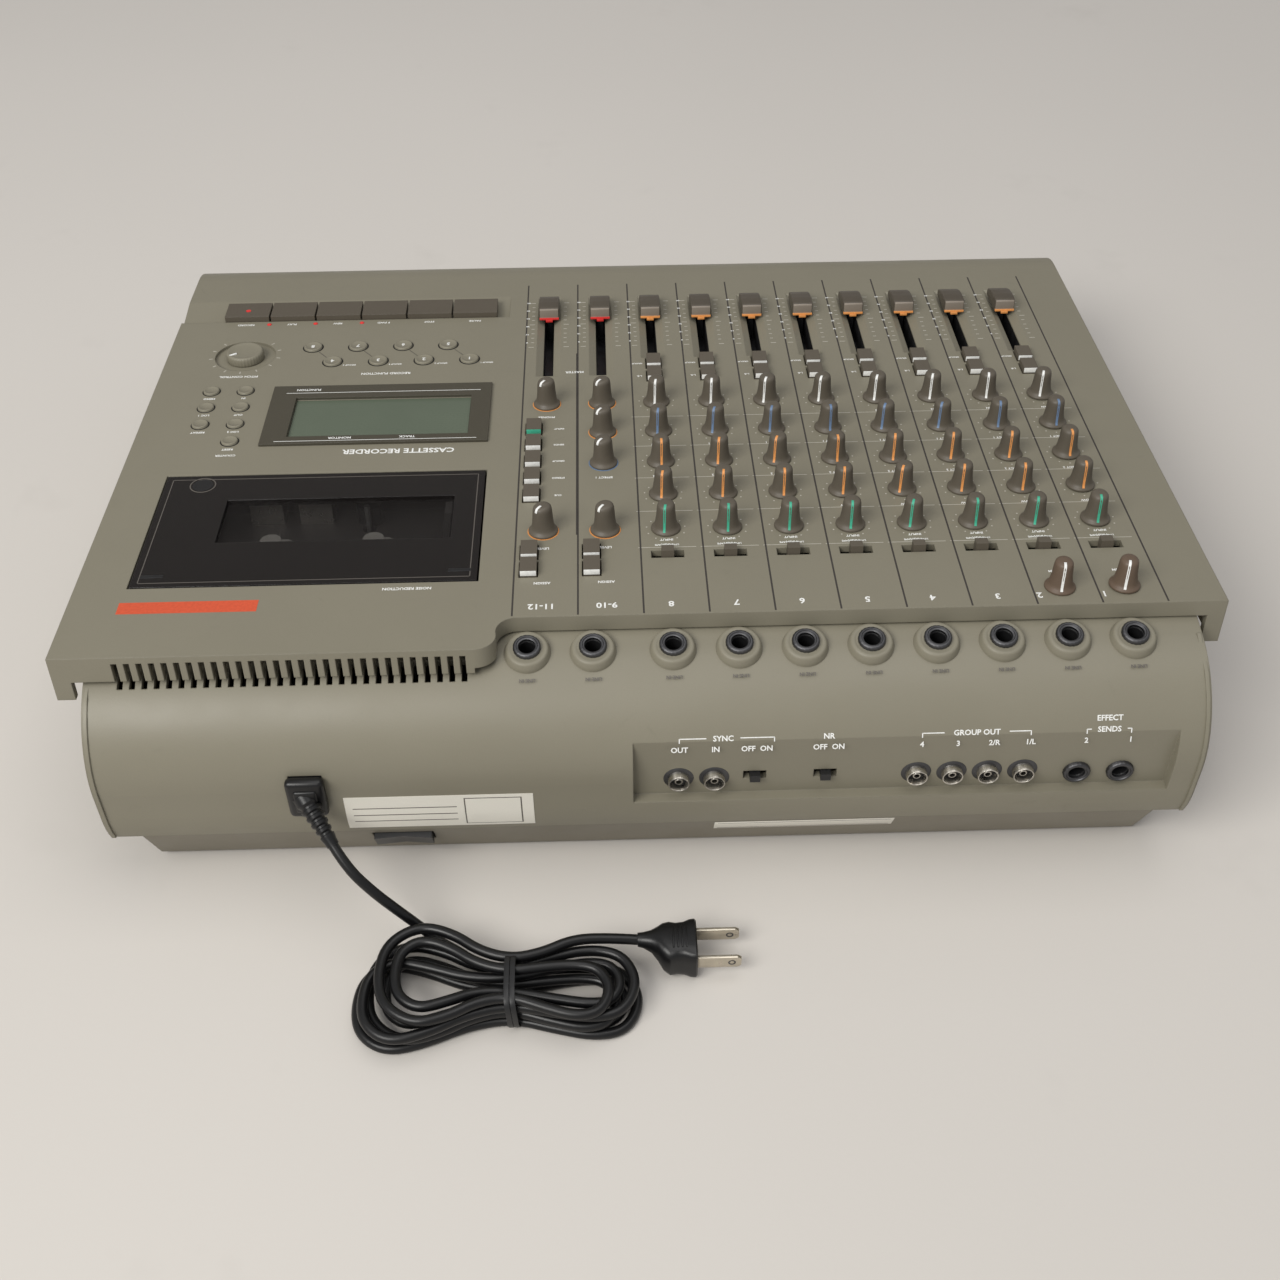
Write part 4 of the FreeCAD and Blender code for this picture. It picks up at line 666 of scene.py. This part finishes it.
# Fader caps: a dark body that slopes to the user, a paler far face, a coloured line with its tab, a stem
faders = [("channel_fader_%d" % (k + 1), x, 1) for k, x in enumerate(COLUMNS[::-1])]
faders += [("stereo_master_fader", STEREO_X, 2), ("submix_master_fader", SUBMIX_X, 2)]
CAP = (
    (-258.5, 0.6), (-239.4, 0.6), (-239.4, 6.6), (-240.6, 7.2), (-246, 7.15), (-252, 6.4), (-257.2, 4.6),
    (-258.4, 3.6),
)
CAP_FACE = ((-239.6, 1.2), (-238.7, 1.2), (-238.9, 6.3), (-239.6, 6.9))
for name, x, line in faders:
    main = bmesh.new()
    extrusion(main, CAP, x - 5, x + 5, PANEL, 3, 0.6)
    extrusion(main, CAP_FACE, x - 4.6, x + 4.6, PANEL, 0, 0.2)
    block(main, (x - 4.8, -239.4, 1.2), (x + 4.8, -238.3, 2.3), PANEL, line, 0.15)
    block(main, (x - 1.7, -239.4, 0.15), (x + 1.7, -237.9, 1.5), PANEL, line, 0.15)
    block(main, (x - 1.5, -252.5, -13.4), (x + 1.5, -244.5, 1), PANEL, 4)
    piece(name + "_cap", main, [cap_light, orange_ink, red_ink, cap_dark, black], name, [name], 40)

# Round record and memory buttons, each in a flat dark ring of painted shadow for the gap round it
record_places = []
for k in range(4):
    record_places.append((155.7 - 21.9 * k, -217.0))
    record_places.append((155.7 - 11.1 - 21.9 * k, -202.4))
BUTTON = ((4.4, -0.8), (4.4, 0.7), (4.2, 1.05), (3.8, 1.15), (3.4, 1.0), (3.1, 0.8), (0, 0.75))
# Flat dark ring round each button: painted shadow in the gap between button and panel
BUTTON_GAP_SHADOW = ((4.45, 0), (4.45, 0.1), (5.05, 0.1), (5.05, 0), (4.45, 0))


def round_button(main, x, v, scale):
    for slot, profile in enumerate((BUTTON, BUTTON_GAP_SHADOW)):
        lathe(main, [(r * scale, h) for r, h in profile], on_panel(x, v), slot, 36)


main = bmesh.new()
for k, (x, v) in enumerate(record_places):
    round_button(main, x, v, 1)
    letters(main, str(8 - k // 2 if k % 2 == 0 else 4 - k // 2), 3.4, on_panel(x, v, 0.78), 2)
RECORD_MATERIALS = [housing, gap_shadow_paint, white_ink]
piece("record_button_set", main, RECORD_MATERIALS, nodes=["record_buttons"], sharp=50)
main = bmesh.new()
for x, v in MEMORY_PLACES:
    round_button(main, x, v, 0.84)
piece("memory_button_set", main, [housing, gap_shadow_paint], nodes=["memory_buttons"], sharp=50)

# Quarter-inch sockets: moulded collars on the curved edge, dark nuts and bores
JACK_COLUMNS = [46.5, 21.3] + COLUMNS
JACK_LEAN = math.radians(9.352)
COLLAR = (
    (9.1, -2.2), (9.05, 0.2), (8.8, 0.9), (8.45, 1.9), (8.15, 2.6), (7.8, 2.95), (7.3, 3.06), (6.2, 3.06),
    (5.7, 2.7), (4.2, 2.6), (4.2, -2.2), (9.1, -2.2),
)
NUT = (
    (5.4, -0.4), (5.4, 1.3), (5.1, 1.75), (4.5, 1.95), (4.2, 1.9), (3.9, 1.5), (3.6, 1.5), (3.3, 1.3), (3.25, 0.9),
    (3.25, -0.4), (5.4, -0.4),
)
BORE = ((4.3, 1.2), (3.3, 1.2), (3.2, -1), (3.2, -18), (0, -18))


def curved_edge(x, w=0):
    """On the curved rear edge, with local Z out of a socket."""
    socket = Matrix.Translation((x, 148.5, 95.083)) @ Matrix.Rotation(-JACK_LEAN, 4, "X")
    return socket @ Matrix.Translation((0, 0, w))


main = bmesh.new()
for x in JACK_COLUMNS:
    lathe(main, COLLAR, curved_edge(x), 0, 48)
piece("jack_collars", main, [housing], sharp=40)
main = bmesh.new()
jack_places = [curved_edge(x, 3) for x in JACK_COLUMNS]
jack_places += [on_rear(x, RECESS_Y, 51.5) for x in REAR_JACKS_X]
for place in jack_places:
    lathe(main, NUT, place, 0, 60, ridges(5, 20, 0.03))
    lathe(main, BORE, place, 1, 32, ends=False)
    block(main, (2.2, -0.9, -7.5), (3.3, 0.9, -6), place, 2, 0.3)
piece("jack_fittings", main, [dark_metal, black, nickel], nodes=["phone_jacks"], sharp=40)

# Phono sockets on their plates in the rear recess
main = bmesh.new()
PHONO_X = [-10.7, -24.6] + [-103.6 - 13.9 * k for k in range(4)]
# Plate, shell, insulator and pin: profile, material slot and number of sides
PHONO_PARTS = (
    (((3.0, -2), (3.0, 0.35), (5.5, 0.35), (5.9, 0.1), (5.9, -2), (3.0, -2)), 1, 40),
    (((3.5, 0), (3.5, 3.2), (3.65, 3.5), (4.0, 3.5), (4.15, 3.2), (4.15, 0), (3.5, 0)), 0, 40),
    (((3.6, -1), (3.6, 0.4), (1.9, 0.4), (1.9, 1.2), (1.6, 1.2), (1.6, -1), (3.6, -1)), 2, 32),
    (((1.6, -6), (1.6, 1.9), (1.4, 2.1), (1.1, 2.1), (1.1, -6), (1.6, -6)), 0, 24),
)
for x in PHONO_X:
    for profile, slot, sides in PHONO_PARTS:
        lathe(main, profile, on_rear(x, RECESS_Y, 53), slot, sides)
piece("phono_fittings", main, [nickel, dark_metal, black], nodes=["phono_jacks"], sharp=40)

# Push buttons: pale edge on the far side of each cap, green on the first one of the monitor column
def button_marks(name, places, body):
    main = bmesh.new()
    for x, v, slot in places:
        block(main, (x - 3.2, v + 4.6, 0.4), (x + 3.2, v + 4.9, 2.8), PANEL, slot, 0.1)
    used = [white_ink, green_ink][: 1 + max(slot for x, v, slot in places)]
    piece(name, main, used, body)


button_marks("channel_button_marks", [(x, v, 0) for x in COLUMNS for v in (-195, -183)], "channel_buttons")
monitor = [(46.5, -137 + 13.4 * k, 1 if k == 0 else 0) for k in range(5)]
monitor += [(x, v, 0) for x in (46.5, 21.3) for v in (-42.2, -30.7)]
button_marks("monitor_button_marks", monitor, "monitor_buttons")

# Print on the panel, read from the user's side, and painted shade along the grooves between channel strips
INKS = [soft_ink, dark_ink_and_groove_shade, white_ink, badge_ink, red_ink, pale_ink]
SOFT, DARK, WHITE, BADGE, RED, PALE = range(len(INKS))
main = bmesh.new()


def mark(low, high, slot=DARK):
    block(main, (*low, -0.02), (*high, 0.04), PANEL, slot)


def words(text, x, v, size):
    letters(main, text, size, on_panel(x, v, 0.02), WHITE)


# Dark strips between the channel strips: painted shade standing in for the grooves there
for k in range(11):
    line_x = 52.2 - STRIP * k
    mark((line_x - 0.35, -279), (line_x + 0.35, -0.8))
mark((27, -206), (27.6, -54))
for x in COLUMNS + [STEREO_X, SUBMIX_X]:
    for k in range(11):
        v = -259 + 4.6 * k
        for side in (-1, 1):
            wide = 2.6 if k % 5 == 0 else 1.5
            near = x + side * 7.2
            low_x, high_x = sorted((near, near + side * wide))
            mark((low_x, v - 0.18), (high_x, v + 0.18), PALE)
    for k, text in enumerate(("0", "10", "20", "30", "40", "60")):
        words(text, x + 10.6, -217.6 - 8.3 * k, 1.7)
ROW_WORDS = ("PAN", "EFFECT 1", "EFFECT 2", "LOW", "HIGH")
for column, x in enumerate(COLUMNS):
    for v, text in zip(ROWS, ROW_WORDS):
        words(text, x, v + 11.2, 1.9)
        for angle in (-132, -100, -66, -33, 0, 33, 66, 100, 132):
            turn = math.radians(angle)
            spot = (x + 8 * math.sin(turn), v + 8 * math.cos(turn))
            mark((spot[0] - 0.28, spot[1] - 0.28), (spot[0] + 0.28, spot[1] + 0.28), PALE)
    for v in (-146, -121, -95.4, -70, -44):
        mark((x - 11.8, v), (x + 11.8, v + 0.25), PALE)
    words("INPUT", x, -49.2, 1.9)
    words("LINE OFF TAPE", x, -45.6, 1.5)
    words(str(8 - column), x + (0 if column < 6 else 9), -6.5, 4.6)
    words("GROUP", x + 7.8, -195, 1.5)
    words("L-R", x + 7, -183, 1.7)
words("TRIM", COLUMNS[-2], -21.8, 1.9)
words("TRIM", COLUMNS[-1], -21.8, 1.9)
words("9-10", STEREO_X, -6.5, 4.6)
words("11-12", SUBMIX_X, -6.5, 4.6)
for x in (STEREO_X, SUBMIX_X):
    words("LEVEL", x, ROWS[4] + 12.2, 2)
    words("ASSIGN", x, -21.5, 2)
words("MASTER", 28.3, -188, 2.4)
for v, text in ((ROWS[0], "GAIN"), (ROWS[1], "EFFECT 2"), (ROWS[2], "EFFECT 1"), (ROWS[3], "SEND")):
    words(text, STEREO_X, v + 11.4, 1.9)
words("PHONES", SUBMIX_X, ROWS[0] + 11.4, 2)
for k, text in enumerate(("INPUT", "SENDS", "GROUP", "STEREO", "CUE")):
    words(text, 35.2, -137 + 13.4 * k, 1.6)
for k, text in enumerate(("RECORD", "PLAY", "REW", "F FWD", "STOP", "PAUSE")):
    words(text, 203.6 - 22.8 * (k + 0.5), KEY_NAMES_V, 2.1)
# Small lamps between the key names
for x in (183.2, 160.2, 137.1):
    lathe(main, [(1.1, 0), (1.1, 0.25), (0.6, 0.55), (0, 0.6)], on_panel(x - 2.5, KEY_NAMES_V), RED, 20)
for k in range(4):
    words("GROUP %d" % (4 - k), record_places[2 * k + 1][0] - 8.4, -199.2, 1.5)
# Lines that join the record buttons in pairs
for k in range(4):
    part = bmesh.new()
    first, second = Vector((*record_places[2 * k], 0.03)), Vector((*record_places[2 * k + 1], 0.03))
    way = (second - first).normalized()
    side = Vector((-way.y, way.x, 0)) * 0.16
    a, b = first + way * 5.6, second - way * 5.6
    part.faces.new([part.verts.new(p) for p in (a - side, a + side, b + side, b - side)])
    stamp(main, part, PANEL, DARK)
words("RECORD FUNCTION", 118, -190.5, 2.5)
words("PITCH CONTROL", PITCH_X, -190, 2.3)
for angle in range(-135, 136, 27):
    place = on_panel(PITCH_X, PITCH_V, 0, -angle) @ Matrix.Translation((0, 16.4, 0))
    block(main, (-0.22, -0.9, -0.02), (0.22, 0.9, 0.04), place, PALE)
for (x, v), text in zip(MEMORY_PLACES, ("MEMO", "LOC 1", "REPEAT", "IN", "OUT", "LOC 2", "RESET")):
    words(text, x, v + 6.4, 1.9)
words("COUNTER", 182, -120.4, 1.9)
words("CASSETTE RECORDER", 106, -121.5, 5)
words("NOISE REDUCTION", 94, -20, 2.2)
mark((151, -14.8), (205, -7.6), BADGE)
for x in JACK_COLUMNS:
    place = curved_edge(x) @ Matrix.Translation((0, 12.6, 0.0)) @ Matrix.Rotation(math.radians(-18.5), 4, "X")
    letters(main, "LINE IN", 1.9, place @ Matrix.Translation((0, 0, -1.0)), SOFT)
piece("panel_print_and_groove_shade", main, INKS)

# Marks on the record key, on the cassette door (a ring, two grips and a frame line) and on the bezel
main = bmesh.new()
lathe(main, [(1.3, 2.55), (1.3, 2.78), (0, 2.82)], on_panel(192.2, -251.5), 0, 20)
piece("record_dot", main, [red_ink], "key_record")
main = bmesh.new()
door_ring = on_panel(187.5, -96.8)
lathe(main, [(5.6, 0), (5.6, 0.12), (5.1, 0.12), (5.1, 0), (5.6, 0)], door_ring, 0, 36)
lathe(main, [(4.4, 0), (4.4, 0.08), (0, 0.08)], door_ring, 1, 36)
for x in (196, 74):
    block(main, (x - 4.5, -32.6, -0.1), (x + 4.5, -30.6, 0.1), PANEL, 1, 0.05)
for low, high in (
    ((69.5, -101.4), (201, -101.0)),
    ((69.5, -27.4), (201, -27.0)),
    ((69.5, -101.4), (69.9, -27.0)),
    ((200.6, -101.4), (201, -27.0)),
):
    block(main, (*low, -0.05), (*high, 0.06), PANEL, 0)
piece("door_marks", main, [soft_ink, black], "cassette_door")
main = bmesh.new()
for text, x, v in (("TRACK", 103, -131.4), ("MONITOR", 133, -131.4), ("FUNCTION", 152, -174.2)):
    letters(main, text, 2.2, on_panel(x, v, 1.22), 0)
for low, high in (((72, -171.5), (162, -171.2)), ((72, -129.4), (162, -129.1))):
    block(main, (*low, 1.18), (*high, 1.24), PANEL, 0)
piece("bezel_print", main, [white_ink])

# End beads, blank label plates and print on the rear
def rear_surface(z, out=0.0):
    """Point on the rear at a height, and the slope of its normal."""
    level = min(max(z, FACE_LOW), ARC_Z)
    rise = math.asin((z - level) / ARC)
    return ARC_Y + (ARC + out) * math.cos(rise), level + (ARC + out) * math.sin(rise), rise


def on_back(x, z):
    y, height, rise = rear_surface(z, 0.03)
    return Matrix.Translation((x, y, height)) @ Matrix.Rotation(rise, 4, "X") @ on_rear(0, 0, 0)


def plate(main, low_x, high_x, low_z, high_z, slot, thick=0.18):
    """A sheet that follows the rear surface between two heights."""
    heights = [low_z + (high_z - low_z) * k / 12 for k in range(13)]
    outer = [rear_surface(z, thick)[:2] for z in heights]
    inner = [rear_surface(z, -0.2)[:2] for z in heights]
    extrusion(main, outer + inner[::-1], low_x, high_x, Matrix(), slot)


main = bmesh.new()
for x in (-213.8, 212.2):
    plate(main, x, x + 1.6, 28.6, 95.3, 3, 0.7)
plate(main, 46, 119.4, 31.5, 51.5, 0)
plate(main, 50.5, 73, 33.2, 49.8, 2, 0.24)
plate(main, 51, 72.5, 33.6, 49.4, 0, 0.27)
for z in (36.5, 40.5, 44.5):
    plate(main, 76, 116.5, z, z + 0.4, 2, 0.24)
low_plate = on_plinth(0, 22)
block(main, (25.6, -4.6, -0.1), (98, 4.6, 0.2), low_plate, 0, 0.05)
block(main, (27, -3.7, 0.18), (96.6, -3.4, 0.25), low_plate, 2)
block(main, (27, 3.4, 0.18), (96.6, 3.7, 0.25), low_plate, 2)
BACK_WORDS = (
    ("OUT", -10.7, 69.4), ("IN", -24.6, 69.4), ("OFF  ON", -40.4, 69.4), ("SYNC", -27.5, 73.4),
    ("NR", -67.9, 73.4), ("OFF  ON", -67.9, 69.4), ("4", -103.6, 69.4), ("3", -117.5, 69.4),
    ("2/R", -131.4, 69.4), ("1/L", -145.3, 69.4), ("GROUP OUT", -124.5, 73.4), ("2", -166.8, 69.4),
    ("1", -183.9, 69.4), ("EFFECT", -175.4, 77.2), ("SENDS", -175.4, 73.4),
)
for text, x, z in BACK_WORDS:
    letters(main, text, 3.1, on_back(x, z + 1.5), 1)
# Brackets beside the group names: lines across, and ticks at their ends
BRACKET_Z = 74.9
mirror = Matrix.Scale(-1, 4, (1, 0, 0))
for low_x, high_x in (
    (-21, -10.7), (-47, -34), (-112, -103.6), (-145.3, -137), (-168.5, -166.8), (-183.9, -182.3),
):
    block(main, (low_x, 0, -0.03), (high_x, 0.4, 0.05), on_back(0, BRACKET_Z) @ mirror, 1)
for x in (-10.7, -47, -103.6, -145.3, -166.8, -183.9):
    block(main, (-0.2, -1.6, -0.03), (0.2, 0.3, 0.05), on_back(x, BRACKET_Z), 1)
piece("rear_print", main, [label_film, white_ink, soft_ink, housing])
main = bmesh.new()
block(main, (6.2, -2.2, 1.4), (6.8, 2.2, 1.6), on_plinth(99.5, 19), 0)
piece("rocker_mark", main, [white_ink], "power_rocker")

# Materials of the parts shown as they are
CAD_MATERIALS = {
    housing: ["top_cover", "rear_panel"],
    case: ["bottom_case"],
    feet_rubber: ["rubber_feet"],
    steel: ["case_screws", "transformer", "deck_motor", "capstan_flywheel"],
    board_green: ["mixer_board", "key_board"],
    dark_metal: ["fader_bodies", "potentiometers", "phone_jacks", "phono_jacks"],
    key_plastic: ["key_" + name for name in ("record", "play", "rewind", "fast_forward", "stop", "pause")],
    taupe: [
        "input_select_switches", "channel_buttons", "monitor_buttons", "rotary_knobs", "pitch_knob",
        "record_buttons", "memory_buttons",
    ],
    well_plastic: ["cassette_well"],
    reel_plastic: ["supply_reel", "takeup_reel"],
    black: ["pinch_roller", "power_rocker", "rear_slide_switches", "cord_tie"],
    nickel: ["tape_heads"],
    bezel_plastic: ["display_bezel"],
    lcd.material: ["display_module"],
    door_smoke: ["cassette_door"],
    window_smoke: ["door_window"],
    rubber: ["strain_relief", "power_cord", "cord_hank", "plug_body"],
    brass: ["plug_blades"],
    cap_dark: [name for name, x, line in faders],
    trim_brown: ["trim_knob"] + ["channel_1_knob_%d" % (k + 1) for k in range(5)],
}
for material, names in CAD_MATERIALS.items():
    for name in names:
        mesh = bpy.data.objects[name].data
        mesh.materials.clear()
        mesh.materials.append(material)

# Pale seamless floor that turns up into a wall, in metres
main = bmesh.new()
BACK, COVE = -2.6, 1.2
path = [(1.4, 0), (BACK, 0)]
for k in range(1, 9):
    turn = k * math.pi / 16
    path.append((BACK - COVE * math.sin(turn), COVE - COVE * math.cos(turn)))
path.append((-3.8, 4))
lines = [[main.verts.new((x, y, z)) for x in (-4, -1.3, 1.3, 4)] for y, z in path]
for low, high in zip(lines, lines[1:]):
    for k in range(3):
        main.faces.new((low[k], high[k], high[k + 1], low[k + 1]))
bmesh.ops.recalc_face_normals(main, faces=main.faces)
floor_mesh = bpy.data.meshes.new("floor")
main.to_mesh(floor_mesh)
main.free()
floor_mesh.shade_smooth()
paper = Nodes("floor_paper")
tone = paper.mix(paper.ramp(paper.noise(1.2, 3), 0.3, 0.7), srgb(200, 195, 188), srgb(205, 200, 193))
tone = paper.mix(paper.ramp(paper.noise(9, 4, 0.7), 0.62, 0.9), tone, srgb(195, 190, 183))
paper.link(tone, paper.shader.inputs["Base Color"])
paper.link(paper.bump(paper.noise(420, 3), 0.06, 0.0004), paper.shader.inputs["Normal"])
paper.shader.inputs["Roughness"].default_value = 0.75
paper.shader.inputs["Specular IOR Level"].default_value = 0.2
floor_mesh.materials.append(paper.material)
floor = bpy.data.objects.new("floor", floor_mesh)
bpy.context.scene.collection.objects.link(floor)


def lamp(name, at, target, size, power, colour):
    """A rectangular lamp aimed at a point."""
    data = bpy.data.lights.new(name, "AREA")
    data.shape = "RECTANGLE"
    data.size, data.size_y = size
    data.energy = power
    data.color = colour
    thing = bpy.data.objects.new(name, data)
    way = Vector(target) - Vector(at)
    thing.matrix_world = Matrix.Translation(at) @ way.to_track_quat("-Z", "Y").to_matrix().to_4x4()
    bpy.context.scene.collection.objects.link(thing)


lamp("key", (1.1, 1.3, 1.7), (0, 0.1, 0.05), (1.4, 1.1), 42, (1, 0.985, 0.95))
lamp("ceiling", (-0.3, 0.1, 2.2), (0, 0.1, 0), (1.8, 1.4), 14, (1, 0.98, 0.96))

# Surrounding light; the lens, mirrors and see-through pieces get a softer, even tone
world = bpy.data.worlds.new("studio")
world.use_nodes = True
tree = world.node_tree
tree.nodes.clear()
rays = tree.nodes.new("ShaderNodeLightPath")
either = rays.outputs["Is Camera Ray"]
for kind in ("Is Glossy Ray", "Is Transmission Ray"):
    larger = tree.nodes.new("ShaderNodeMath")
    larger.operation = "MAXIMUM"
    tree.links.new(either, larger.inputs[0])
    tree.links.new(rays.outputs[kind], larger.inputs[1])
    either = larger.outputs[0]
blend = tree.nodes.new("ShaderNodeMixShader")
tree.links.new(either, blend.inputs["Fac"])
SURROUND, SEEN = ((0.9, 0.93, 1, 1), 0.4), ((0.72, 0.72, 0.72, 1), 0.6)
for socket, (colour, strength) in zip((blend.inputs[1], blend.inputs[2]), (SURROUND, SEEN)):
    background = tree.nodes.new("ShaderNodeBackground")
    background.inputs["Color"].default_value = colour
    background.inputs["Strength"].default_value = strength
    tree.links.new(background.outputs[0], socket)
out = tree.nodes.new("ShaderNodeOutputWorld")
tree.links.new(blend.outputs[0], out.inputs["Surface"])
bpy.context.scene.world = world
